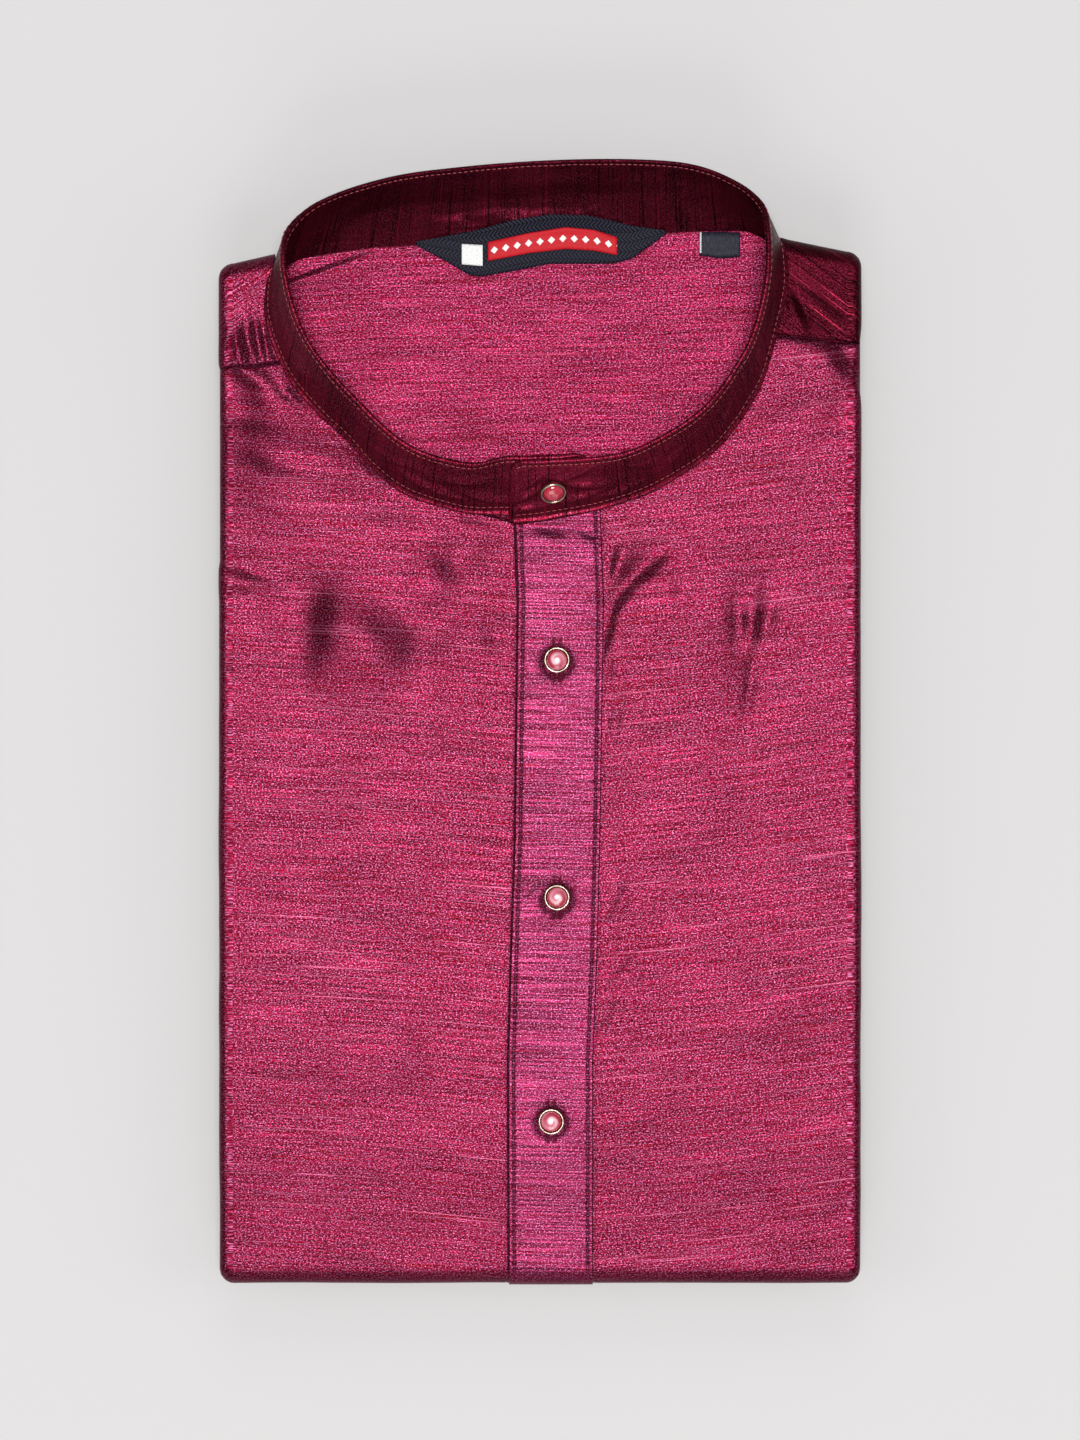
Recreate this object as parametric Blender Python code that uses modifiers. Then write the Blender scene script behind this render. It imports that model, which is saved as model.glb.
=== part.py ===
"""A kurta tunic in dupion silk, folded for a shelf and laid flat with its front up.

Sizes in this file are millimetres until a mesh is written. +X is to the right as the garment is
seen from above, +Y runs from the folded hem end to the collar and +Z is up from the table."""

import math

import bmesh
import bpy
import numpy as np
from mathutils import Matrix, Vector

MM = 0.001
GAP = 0.35  # air between two pieces that touch on the real garment

# The folded packet
HALF_WIDTH = 112.7
HEM_END = -196.0
FRONT_TOP = 24.6  # height of the laid front above the table
HEM_DROOP = 2.0
SHOULDER_DROOP = 0.6

# Radius of the turned-down edge of the front, and how far round it the cloth goes
SIDE_ROLL = 5.0
HEM_ROLL = 6.5
NECK_ROLL = 6.0
TUCK = math.radians(150)
ROLL_STEPS = 5

# Walls
CLOTH = 1.2
BAND = 1.8
LABEL = 1.0

# Neck
NECK_FLOOR = 20.4  # top of the back's inside face
INNER_LEFT = -90.0
INNER_RIGHT = 80.5
BAND_STAND = 2.15  # one band end lies this far outside the other
BAND_CORNER = 6.0
UNDER_END = 30.0  # length of the hidden end, past the upper end's edge
OVERLAP_BLEND = 18.0

# Placket and buttons
PLACKET_SEAM = 8.0  # the right front meets the under layer here, below the upper layer
PLACKET_TOP = 76.0
BUTTON_SEGMENTS = 16

# The neck end of the packet: the outer line of the shoulders and the back neck
NECK_LINE = (
    # x, y
    (-112.7, 161.3),
    (-91.0, 166.3),
    (-60.0, 169.6),
    (-30.0, 171.2),
    (0.0, 172.6),
    (35.0, 174.6),
    (60.0, 175.4),
    (78.0, 173.6),
    (87.0, 170.9),
    (112.7, 165.6),
)

# Seam between the fronts and the yoke's front ends, either side of the neck
YOKE_SEAM = (
    # x, y
    (-112.7, 124.8),
    (-89.5, 127.4),
    (81.5, 137.0),
    (112.7, 133.8),
)

# Edges of the placket down the front
PLACKET_EDGES = (
    # y, free edge x, stitched edge x
    (75.0, -8.8, 21.2),
    (44.0, -7.7, 22.4),
    (-40.0, -8.8, 21.1),
    (-82.0, -10.2, 20.0),
    (-117.0, -11.1, 18.6),
    (-198.0, -10.9, 18.6),
)

# Collar band: foot and top of its middle surface, from the upper end round the neck
COLLAR = (
    # foot x, y, z, top x, y, z, bulge away from the neck
    (-10.9, 71.3, 25.6, -10.6, 91.6, 45.2, 0.8),
    (3.5, 72.9, 25.6, 3.4, 91.8, 45.2, 0.9),
    (25.2, 77.8, 25.6, 23.4, 93.2, 45.6, 0.9),
    (41.3, 84.1, 25.6, 37.2, 97.3, 46.4, 0.9),
    (61.6, 98.1, 25.5, 56.8, 110.0, 47.6, 0.8),
    (75.3, 117.7, 25.5, 70.2, 128.7, 48.0, 0.6),
    (80.6, 133.4, 25.4, 75.2, 141.4, 48.0, 0.4),
    (83.9, 146.4, 25.2, 77.9, 155.2, 47.6, 0.3),
    (85.4, 158.9, 24.6, 78.1, 170.1, 45.6, 0.2),
    (82.7, 169.4, 22.6, 76.2, 180.3, 42.2, 0.4),
    (73.0, 174.2, 20.6, 68.5, 188.0, 38.6, 0.8),
    (56.2, 174.3, 19.8, 54.2, 194.4, 36.0, 1.4),
    (35.1, 173.3, 19.6, 34.7, 196.6, 35.0, 1.8),
    (3.5, 171.5, 19.6, 3.5, 196.4, 34.6, 1.9),
    (-31.6, 170.1, 19.6, -29.5, 193.8, 35.0, 1.8),
    (-59.4, 168.4, 19.8, -54.1, 189.8, 36.4, 1.4),
    (-84.3, 164.4, 21.2, -76.8, 181.1, 39.4, 0.8),
    (-92.9, 157.6, 23.8, -86.3, 171.6, 43.0, 0.4),
    (-94.9, 145.4, 25.2, -88.1, 161.2, 46.0, 0.3),
    (-91.6, 131.4, 25.4, -85.6, 147.3, 47.0, 0.4),
    (-83.7, 117.3, 25.5, -79.4, 132.0, 47.6, 0.6),
    (-68.6, 102.3, 25.5, -65.4, 114.7, 47.8, 0.8),
    (-48.3, 82.8, 25.6, -45.4, 96.9, 46.6, 0.9),
    (-25.9, 75.0, 25.6, -24.1, 90.4, 45.6, 0.8),
)
RIGHTMOST = 8  # rows of the table where the neck hole is widest
LEFTMOST = 18
COLUMNS_ROUND_THE_BAND = 84
ROWS_UP_THE_BAND = 4

# Folds of the front start this far from the neck seam, and are whole a little further on
SEAM_MARGIN = 1.5
FOLD_FADE = 12.0

# Largest folds of the laid front: a ridge is high, a hollow is low
FRONT_FOLDS = (
    # x, y, direction in degrees, half length, half width, height
    (-98.0, 119.0, -42, 17.0, 6.0, 1.5),
    (-107.0, 108.0, -60, 14.0, 7.0, -0.9),
    (-78.0, 40.0, 80, 15.0, 8.0, -0.8),
    (-52.0, 32.0, -60, 14.0, 8.0, -0.6),
    (-104.0, 52.0, -14, 16.0, 7.0, 0.9),
    (-66.0, 86.0, 35, 26.0, 16.0, 0.8),
    (37.0, 52.0, 44, 15.0, 7.5, -0.7),
    (76.0, 25.0, 80, 24.0, 8.0, -0.9),
    (58.0, 44.0, 62, 26.0, 12.0, 0.8),
    (107.0, 122.0, 78, 15.0, 6.0, -0.9),
    (94.0, 108.0, 30, 18.0, 9.0, 0.9),
    (62.0, -70.0, 10, 52.0, 15.0, 0.5),
    (-64.0, -46.0, -8, 48.0, 15.0, 0.5),
    (-58.0, -132.0, 4, 46.0, 12.0, -0.4),
    (66.0, -140.0, 8, 40.0, 12.0, -0.4),
)

# Folded edges of the hidden layers from the table up: the height of each at the sides, the hem end
# and the neck end, and how far it stays back from the outline there
LAYERS = (
    # side low, high, back; hem low, high, back; neck low, high, back
    (0.0, 3.5, 3.0, 0.0, 2.1, 6.0, 0.0, 2.9, 4.0),
    (3.8, 7.2, 1.6, 2.3, 4.2, 4.4, 3.1, 5.8, 2.4),
    (7.5, 10.9, 2.6, 4.4, 6.3, 3.0, 6.0, 8.7, 3.2),
    (11.2, 14.4, 1.1, 6.5, 8.3, 2.2, 8.9, 11.7, 2.0),
    (16.6, 21.7, 2.8, 11.9, 20.3, 2.6, 14.5, 21.2, 2.5),
)
LAYER_WAVE = 0.45
LAYER_DROOP_FROM = 11.0  # the layers above this height droop as far as the front does
LAYER_ARC = (-90, -45, 0, 45, 90)
CORE_TOP = 21.9
CORE_SHELF = (
    # distance from the outline, height at the hem end
    (30.0, 20.9),
    (62.0, CORE_TOP),
)
CORE_CORNER = 7.0
CORNER_STEPS = 3
LONG_SIDE_PARTS = 10
SHORT_SIDE_PARTS = 8
DEEPEST_ARC = 2.6  # most that the edge of one layer rounds back

# Neck label and size tab, seen from above
TAPE = (
    # x, lower y, upper y
    (-43.5, 168.7, 169.9),
    (-34.0, 163.6, 171.6),
    (-24.6, 158.1, 173.3),
    (-20.4, 157.7, 174.3),
    (-8.4, 159.8, 177.4),
    (3.5, 162.2, 179.1),
    (16.2, 162.2, 178.8),
    (25.6, 162.2, 177.0),
    (32.3, 164.0, 175.4),
    (44.2, 172.6, 173.8),
)
PATCH = (
    # x, lower y, upper y
    (-18.2, 163.0, 169.7),
    (-4.0, 165.7, 172.7),
    (9.0, 167.2, 174.7),
    (19.0, 166.6, 173.8),
    (27.0, 165.0, 171.4),
)
SQUARE = (
    # x, lower y, upper y
    (-27.4, 161.8, 169.0),
    (-20.1, 161.2, 168.6),
)
SIZE_TAB = (
    # x, lower y, upper y
    (55.8, 165.2, 173.3),
    (63.0, 164.1, 173.4),
    (70.2, 164.6, 173.2),
)

BUTTONS_ON_PLACKET = (
    # x, y
    (5.9, 23.1),
    (5.9, -59.8),
    (3.9, -138.0),
)
COLLAR_BUTTON_X = 4.2
COLLAR_BUTTON_UP = 0.55  # share of the band's height

MATERIALS = {
    # name: colour, roughness, metallic
    "silk": ((0.46, 0.045, 0.13), 0.45, 0.3),
    "silk_fold": ((0.36, 0.032, 0.10), 0.5, 0.25),
    "silk_inside": ((0.43, 0.042, 0.12), 0.5, 0.25),
    "tape": ((0.012, 0.011, 0.018), 0.75, 0.0),
    "patch": ((0.54, 0.018, 0.026), 0.7, 0.0),
    "white_weave": ((0.78, 0.78, 0.76), 0.7, 0.0),
    "metal": ((0.62, 0.55, 0.42), 0.3, 1.0),
    "resin": ((0.62, 0.06, 0.10), 0.15, 0.0),
}


def clear_scene():
    for old in list(bpy.data.objects):
        bpy.data.objects.remove(old)


def material(name):
    made = bpy.data.materials.get(name)
    if made is None:
        made = bpy.data.materials.new(name)
        made.use_nodes = True
        colour, roughness, metallic = MATERIALS[name]
        shader = made.node_tree.nodes["Principled BSDF"]
        shader.inputs["Base Color"].default_value = (*colour, 1.0)
        shader.inputs["Roughness"].default_value = roughness
        shader.inputs["Metallic"].default_value = metallic
    return made


def add_object(name, mesh, finish, collection):
    mesh.materials.append(material(finish))
    made = bpy.data.objects.new(name, mesh)
    collection.objects.link(made)
    return made


def smooth_step(value):
    t = min(max(value, 0.0), 1.0)
    return t * t * (3 - 2 * t)


def column(table, index):
    return [row[index] for row in table]


def read_table(value, table, index):
    """Straight-line reading of one column at a value of the first."""
    xs = column(table, 0)
    ys = column(table, index)
    if xs[0] > xs[-1]:
        xs.reverse()
        ys.reverse()
    return float(np.interp(value, xs, ys))


def from_neck(x, y):
    """Distance of a point from the foot of the band, as seen from above."""
    feet = np.array(COLLAR)[:, :2]
    runs = np.roll(feet, -1, axis=0) - feet
    gone = (np.array((x, y)) - feet) * runs
    share = np.clip(gone.sum(axis=1) / (runs * runs).sum(axis=1), 0.0, 1.0)
    nearest = feet + runs * share[:, None]
    return float(np.hypot(nearest[:, 0] - x, nearest[:, 1] - y).min())


def folds_at(x, y):
    """Height of the folds at a point of the front. They die out at the neck seam."""
    height = 0.0
    for fold_x, fold_y, degrees, length, width, rise in FRONT_FOLDS:
        turn = math.radians(degrees)
        along = (x - fold_x) * math.cos(turn) + (y - fold_y) * math.sin(turn)
        across = (y - fold_y) * math.cos(turn) - (x - fold_x) * math.sin(turn)
        height += rise * math.exp(-((along / length) ** 2) - (across / width) ** 2)
    return height * smooth_step((from_neck(x, y) - SEAM_MARGIN) / FOLD_FADE)


def front_level(y):
    """Height of the laid front without its folds: it droops at both ends."""
    hem = smooth_step((-130.0 - y) / 60.0)
    shoulder = smooth_step((y - 125.0) / 35.0)
    return FRONT_TOP - HEM_DROOP * hem - SHOULDER_DROOP * shoulder


def laid(x, y, lift=0.0):
    """Where a point of flat cloth comes to lie: flat inside the packet's edges, rolled down past them."""
    inner_x = min(max(x, SIDE_ROLL - HALF_WIDTH), HALF_WIDTH - SIDE_ROLL)
    neck_start = read_table(inner_x, NECK_LINE, 1) - NECK_ROLL
    inner_y = min(max(y, HEM_END + HEM_ROLL), neck_start)
    end_roll = HEM_ROLL if y < inner_y else NECK_ROLL
    turn_x = abs(x - inner_x) / SIDE_ROLL
    turn_y = abs(y - inner_y) / end_roll
    turn = max(turn_x, turn_y)
    height = front_level(inner_y)
    rise = lift + folds_at(inner_x, inner_y) * math.cos(turn / 2) ** 2
    if turn == 0:
        return Vector((x, y, height + rise))
    if turn_x >= turn_y:
        heading = math.pi / 4 * turn_y / turn_x
    else:
        heading = math.pi / 2 - math.pi / 4 * turn_x / turn_y
    roll = SIDE_ROLL * math.cos(heading) ** 2 + end_roll * math.sin(heading) ** 2
    reach = (roll + rise) * math.sin(turn)
    return Vector(
        (
            inner_x + math.copysign(math.cos(heading), x - inner_x) * reach,
            inner_y + math.copysign(math.sin(heading), y - inner_y) * reach,
            height - roll + (roll + rise) * math.cos(turn),
        )
    )


def collar_rows():
    """The table, with its first rows again at the end for the hidden end below the upper one."""
    return np.array(COLLAR + COLLAR[:3])


COLLAR_ROWS = collar_rows()
COLLAR_MARKS = np.concatenate(
    [[0.0], np.cumsum(np.linalg.norm(np.diff(COLLAR_ROWS[:, :3], axis=0), axis=1))]
)
BAND_LENGTH = COLLAR_MARKS[len(COLLAR)] + UNDER_END


def collar_section(distance):
    """The table read by a smooth curve, at a distance round the foot of the band."""
    last = len(COLLAR_ROWS) - 1
    i = min(int(np.searchsorted(COLLAR_MARKS, distance, side="right")) - 1, last - 1)
    before, after = max(i - 1, 0), min(i + 2, last)
    step = COLLAR_MARKS[i + 1] - COLLAR_MARKS[i]
    start, end = COLLAR_ROWS[i], COLLAR_ROWS[i + 1]
    slope_in = (end - COLLAR_ROWS[before]) / (COLLAR_MARKS[i + 1] - COLLAR_MARKS[before])
    slope_out = (COLLAR_ROWS[after] - start) / (COLLAR_MARKS[after] - COLLAR_MARKS[i])
    t = (distance - COLLAR_MARKS[i]) / step
    return (
        (1 + 2 * t) * (1 - t) ** 2 * start
        + t * (1 - t) ** 2 * step * slope_in
        + t * t * (3 - 2 * t) * end
        + t * t * (t - 1) * step * slope_out
    )


def band_axes(section, distance):
    """Directions up the band and away from the neck."""
    foot, top = Vector(section[:3]), Vector(section[3:6])
    nearby = collar_section(min(distance + 1.0, BAND_LENGTH))
    behind = collar_section(max(distance - 1.0, 0.0))
    along = Vector(nearby[:3] - behind[:3]).normalized()
    up = (top - foot).normalized()
    return up, along.cross(up).normalized()


def band_point(distance, share, stand=0.0):
    """A point of the band's middle surface, at a share of its height."""
    section = collar_section(distance)
    foot, top = Vector(section[:3]), Vector(section[3:6])
    up, outward = band_axes(section, distance)
    from_end = min(distance, BAND_LENGTH - distance)
    reach = share
    if from_end < BAND_CORNER:
        cut = BAND_CORNER - math.sqrt(BAND_CORNER**2 - (BAND_CORNER - from_end) ** 2)
        reach *= 1 - cut / (top - foot).length
    hidden = (distance - COLLAR_MARKS[len(COLLAR)]) / OVERLAP_BLEND + 1
    sink = BAND_STAND * smooth_step(hidden)
    bulge = section[6] * 4 * reach * (1 - reach)
    start = foot + up * sink
    return start.lerp(top, reach) + outward * (bulge - sink + stand)


def neck_line_points(inset):
    """The foot of the band as seen from above, moved towards the neck."""
    points = []
    for i, row in enumerate(COLLAR):
        before, after = COLLAR[i - 1], COLLAR[(i + 1) % len(COLLAR)]
        along = Vector((after[0] - before[0], after[1] - before[1])).normalized()
        points.append((row[0] - along.y * inset, row[1] + along.x * inset))
    return points


def neck_y(x, inset, at_back):
    """Front or back edge of the neck hole at x."""
    points = neck_line_points(inset)
    if at_back:
        edge = points[RIGHTMOST : LEFTMOST + 1]
    else:
        edge = points[LEFTMOST:] + points[: RIGHTMOST + 1]
    edge.sort()
    return read_table(x, edge, 1)


def inside_height(x, y):
    """Height of the cloth seen inside the neck: the back's inside face, then the foot of the band."""
    back_rows = sorted(row for row in COLLAR if row[2] < 21 and row[1] > 150)
    xs = [row[0] for row in back_rows]
    foot_y, foot_z, top_y, top_z, bulge = (
        float(np.interp(x, xs, [row[i] for row in back_rows])) for i in (1, 2, 4, 5, 6)
    )
    share = (y - foot_y) / (top_y - foot_y)
    if share <= 0:
        return NECK_FLOOR
    rise = (top_z - foot_z) * share - bulge * 4 * share * (1 - share)
    return NECK_FLOOR + max(rise, 0.0) * 1.05


def spread(share, marks):
    """A position read from evenly counted steps: marks are (steps, position) rows."""
    counts = np.cumsum(column(marks, 0))
    return float(np.interp(share * counts[-1], counts, column(marks, 1)))


def sheet(name, columns, rows, place, wall, finish, collection, below=1.0):
    """Open cloth from a flat grid, with its wall below the placed face, or half each side at 0."""
    shape = bmesh.new()
    bmesh.ops.create_grid(shape, x_segments=columns, y_segments=rows, size=0.5)
    for vert in shape.verts:
        vert.co = place(vert.co.x + 0.5, vert.co.y + 0.5) * MM
    mesh = bpy.data.meshes.new(name)
    shape.to_mesh(mesh)
    shape.free()
    made = add_object(name, mesh, finish, collection)
    thickness = made.modifiers.new("wall", "SOLIDIFY")
    thickness.thickness = wall * MM
    thickness.offset = -below
    mesh.shade_smooth()
    return made


FLAT_ROWS = 28
FLAT_COLUMNS = 11
SHOULDER_ROWS = 4
SHOULDER_COLUMNS = 3
HEM_EDGE = HEM_END + HEM_ROLL - HEM_ROLL * TUCK
SIDE_FOLD = HALF_WIDTH - SIDE_ROLL
SIDE_EDGE = SIDE_FOLD + SIDE_ROLL * TUCK
UNDER_LEDGE = 0.9  # the under layer shows this far beside the upper layer's free edge
SEAM_UNDER_BAND = 0.9
PLACKET_BELOW_BAND = 1.5
HOLE_INSET = 2.2  # the hidden layers stop this far inside the foot of the band
BAND_SIDE_FROM = 70.0
BESIDE_BAND = 1.7
BACK_FROM_Y = 162.0  # the yoke's back edge starts beside the band at this height up the neck


def down_the_front(share, top):
    """Y from the hem's tucked edge up to the top of a piece."""
    marks = ((0, HEM_EDGE), (ROLL_STEPS, HEM_END + HEM_ROLL), (FLAT_ROWS, top))
    return spread(share, marks)


def front_top(x):
    """Upper edge of a front: the yoke seam, then the foot of the band."""
    seam = read_table(x, YOKE_SEAM, 1)
    if x < YOKE_SEAM[1][0] or x > YOKE_SEAM[2][0]:
        return seam
    return min(seam, neck_y(x, SEAM_UNDER_BAND, at_back=False))


def add_fronts(collection):
    def left(u, v):
        seam = read_table(down_the_front(v, PLACKET_TOP), PLACKET_EDGES, 1) - UNDER_LEDGE
        x = spread(u, ((0, -SIDE_EDGE), (ROLL_STEPS, -SIDE_FOLD), (FLAT_COLUMNS, seam)))
        return laid(x, down_the_front(v, front_top(x)))

    def right(u, v):
        seam = PLACKET_SEAM + GAP
        x = spread(u, ((0, seam), (FLAT_COLUMNS, SIDE_FOLD), (ROLL_STEPS, SIDE_EDGE)))
        return laid(x, down_the_front(v, front_top(x)))

    columns, rows = ROLL_STEPS + FLAT_COLUMNS, FLAT_ROWS + ROLL_STEPS
    sheet("front_left", columns, rows, left, CLOTH, "silk", collection)
    sheet("front_right", columns, rows, right, CLOTH, "silk", collection)


def add_placket(collection):
    def under(u, v):
        free_edge = read_table(down_the_front(v, PLACKET_TOP), PLACKET_EDGES, 1)
        x = spread(u, ((0, free_edge - UNDER_LEDGE + GAP), (1, PLACKET_SEAM)))
        return laid(x, down_the_front(v, front_top(x)))

    def upper(u, v):
        y = down_the_front(v, PLACKET_TOP)
        start, end = read_table(y, PLACKET_EDGES, 1), read_table(y, PLACKET_EDGES, 2)
        x = start + (end - start) * u
        top = neck_y(x, -PLACKET_BELOW_BAND, at_back=False)
        return laid(x, down_the_front(v, top), lift=GAP + CLOTH)

    rows = FLAT_ROWS + ROLL_STEPS
    sheet("placket_under", 2, rows, under, CLOTH, "silk", collection)
    sheet("placket_upper", 4, rows, upper, CLOTH, "silk", collection)


def outside_band(y, sign):
    """X of a shoulder piece's edge beside the band, on the side that the sign gives."""
    side = sorted((row[1], row[0]) for row in COLLAR if row[0] * sign > BAND_SIDE_FROM)
    return read_table(y, side, 1) + sign * BESIDE_BAND


def add_yoke(collection):
    neck_edge = NECK_ROLL * TUCK

    def neck_fold(x):
        return read_table(x, NECK_LINE, 1) - NECK_ROLL

    def shoulder(u, v, sign):
        side = sign * SIDE_FOLD
        seam, fold = read_table(side, YOKE_SEAM, 1), neck_fold(side)
        y = spread(v, ((0, seam), (SHOULDER_ROWS, fold), (ROLL_STEPS, fold + neck_edge)))
        inner = outside_band(min(y, fold), sign)
        across = u if sign < 0 else 1 - u
        x = spread(across, ((0, sign * SIDE_EDGE), (ROLL_STEPS, side), (SHOULDER_COLUMNS, inner)))
        seam, fold = front_top(x) + GAP, neck_fold(x)
        return laid(x, spread(v, ((0, seam), (SHOULDER_ROWS, fold), (ROLL_STEPS, fold + neck_edge))))

    def back(u, v):
        left, right = outside_band(BACK_FROM_Y, -1) + 2.4, outside_band(BACK_FROM_Y, 1) - 2.4
        x = left + (right - left) * u
        open_turn = math.radians(90 - 14 * smooth_step((abs(x) - 55) / 30))
        turn = TUCK + (open_turn - TUCK) * (1 - v)
        return laid(x, neck_fold(x) + NECK_ROLL * turn)

    columns, rows = ROLL_STEPS + SHOULDER_COLUMNS, SHOULDER_ROWS + ROLL_STEPS
    for name, sign in (("yoke_left", -1), ("yoke_right", 1)):
        sheet(name, columns, rows, lambda u, v: shoulder(u, v, sign), CLOTH, "silk", collection)
    sheet("yoke_back", 14, 3, back, CLOTH, "silk", collection)


def back_inner_edges(x):
    """The back's inside face fills the hole in the hidden layers, up to the neck seam."""
    front = neck_y(x, HOLE_INSET + 2 * GAP, at_back=False)
    back = min(neck_y(x, GAP, at_back=True), read_table(x, NECK_LINE, 1) - HOLE_INSET)
    return front, back


def add_back_inner(collection):
    def place(u, v):
        x = INNER_LEFT + (INNER_RIGHT - INNER_LEFT) * u
        front, back = back_inner_edges(x)
        return Vector((x, front + (back - front) * v, NECK_FLOOR))

    sheet("back_inner", 16, 8, place, CLOTH, "silk_inside", collection)


def add_collar(collection):
    ends = ((0, 0.0), (1, 0.9), (1, 2.8), (1, BAND_CORNER))
    middle = ((COLUMNS_ROUND_THE_BAND, BAND_LENGTH - BAND_CORNER),)
    close = ((1, BAND_LENGTH - 2.8), (1, BAND_LENGTH - 0.9), (1, BAND_LENGTH))
    marks = ends + middle + close

    def place(u, v):
        return band_point(spread(u, marks), v)

    columns = COLUMNS_ROUND_THE_BAND + 6
    sheet("collar_band", columns, ROWS_UP_THE_BAND, place, BAND, "silk", collection, below=0.0)


def label_piece(name, outline, columns, rows, lift, finish, collection):
    def place(u, v):
        x = outline[0][0] + (outline[-1][0] - outline[0][0]) * u
        low, high = read_table(x, outline, 1), read_table(x, outline, 2)
        y = low + (high - low) * v
        return Vector((x, y, inside_height(x, y) + lift + LABEL))

    sheet(name, columns, rows, place, LABEL, finish, collection)


def add_labels(collection):
    on_tape = 3 * GAP + LABEL
    label_piece("label_tape", TAPE, 12, 4, 1.5 * GAP, "tape", collection)
    label_piece("label_patch", PATCH, 8, 2, on_tape, "patch", collection)
    label_piece("label_square", SQUARE, 2, 2, on_tape, "white_weave", collection)
    label_piece("size_tab", SIZE_TAB, 4, 2, GAP, "tape", collection)


def layer_ring(side, hem, neck, phase):
    """One ring of the hidden layers: each argument is (height, distance back from the outline)."""
    back_neck = read_table(0, NECK_LINE, 1)
    half_y = (back_neck - HEM_END) / 2
    middle_y = HEM_END + half_y
    ring = []
    for sign_x, sign_y in ((1, 1), (-1, 1), (-1, -1), (1, -1)):
        end = neck if sign_y > 0 else hem
        for step in range(CORNER_STEPS + 1):
            turn = math.pi / 2 * step / CORNER_STEPS
            if sign_x != sign_y:
                turn = math.pi / 2 - turn
            sideways, endways = math.cos(turn) ** 2, math.sin(turn) ** 2
            back = side[1] * sideways + end[1] * endways
            radius = max(CORE_CORNER - back, 2.0)
            x = sign_x * (HALF_WIDTH - back - radius + radius * math.cos(turn))
            y = middle_y + sign_y * (half_y - back - radius + radius * math.sin(turn))
            ring.append((x, y, side[0] * sideways + end[0] * endways, sideways))
    whole = []
    for i, point in enumerate(ring):
        whole.append(point)
        if i % (CORNER_STEPS + 1) == CORNER_STEPS:
            following = ring[(i + 1) % len(ring)]
            along_side = abs(following[0] - point[0]) < 1
            parts = LONG_SIDE_PARTS if along_side else SHORT_SIDE_PARTS
            for step in range(1, parts):
                whole.append(np.array(point) + (np.array(following) - point) * step / parts)
    shaped = []
    for x, y, z, sideways in whole:
        z -= (FRONT_TOP - front_level(y)) * min(z / LAYER_DROOP_FROM, 1.0) * sideways
        moved = y + (read_table(x, NECK_LINE, 1) - back_neck) * smooth_step((y - 60) / 90)
        pull = 1 - LAYER_WAVE * math.sin(0.045 * (x - y) + phase) / HALF_WIDTH if phase else 1
        shaped.append(Vector((x * pull, moved * pull, z)))
    return shaped


def add_folded_layers(collection, cutter):
    rings = []
    for number, layer in enumerate(LAYERS):
        phase = 1.7 * (number + 1) if number + 1 < len(LAYERS) else 0.0
        for degrees in LAYER_ARC:
            s, c = math.sin(math.radians(degrees)), math.cos(math.radians(degrees))
            places = []
            for low, high, back in (layer[0:3], layer[3:6], layer[6:9]):
                half = (high - low) / 2
                places.append((low + half + half * s, back + min(half, DEEPEST_ARC) * (1 - c)))
            rings.append(layer_ring(*places, phase))
    for distance, hem_height in CORE_SHELF:
        rings.append(
            layer_ring((CORE_TOP, distance), (hem_height, distance), (CORE_TOP, distance), 0.0)
        )
    shape = bmesh.new()
    loops = [[shape.verts.new(point * MM) for point in ring] for ring in rings]
    for lower, upper in zip(loops, loops[1:]):
        for i in range(len(lower)):
            shape.faces.new((lower[i - 1], lower[i], upper[i], upper[i - 1]))
    shape.faces.new(list(reversed(loops[0])))
    shape.faces.new(loops[-1])
    bmesh.ops.recalc_face_normals(shape, faces=shape.faces)
    mesh = bpy.data.meshes.new("folded_layers")
    shape.to_mesh(mesh)
    shape.free()
    made = add_object("folded_layers", mesh, "silk_fold", collection)
    cut = made.modifiers.new("neck", "BOOLEAN")
    cut.operation = "DIFFERENCE"
    cut.object = cutter
    return made


def neck_cutter(collection):
    """Prism over the neck hole and out through the neck end, down to the back's inside face."""
    floor, above = NECK_FLOOR - CLOTH - GAP, 60.0
    hole = neck_line_points(HOLE_INSET)
    outline = hole[LEFTMOST:] + hole[: RIGHTMOST + 1]
    past_end = 200.0
    outline += [(outline[-1][0] - 2.0, past_end), (outline[0][0] + 4.0, past_end)]
    shape = bmesh.new()
    ring = [shape.verts.new(Vector((x, y, floor)) * MM) for x, y in outline]
    base = shape.faces.new(ring)
    up = bmesh.ops.extrude_face_region(shape, geom=[base])
    raised = [item for item in up["geom"] if isinstance(item, bmesh.types.BMVert)]
    bmesh.ops.translate(shape, verts=raised, vec=(0, 0, (above - floor) * MM))
    bmesh.ops.recalc_face_normals(shape, faces=shape.faces)
    mesh = bpy.data.meshes.new("neck_cutter")
    shape.to_mesh(mesh)
    shape.free()
    made = bpy.data.objects.new("neck_cutter", mesh)
    made.hide_render = True
    made.display_type = "WIRE"
    collection.objects.link(made)
    return made


# Turned profiles of a button, from the outer top down and in: radius and height
RIM_PROFILE = (
    (3.5, 2.5),
    (4.15, 2.35),
    (4.55, 1.5),
    (4.2, 0.5),
    (3.3, 0.1),
    (3.3, 1.7),
)
DOME_PROFILE = (
    (0.0, 3.5),
    (1.3, 3.3),
    (2.4, 2.75),
    (3.05, 1.9),
    (2.9, 0.5),
    (0.0, 0.5),
)


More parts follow.
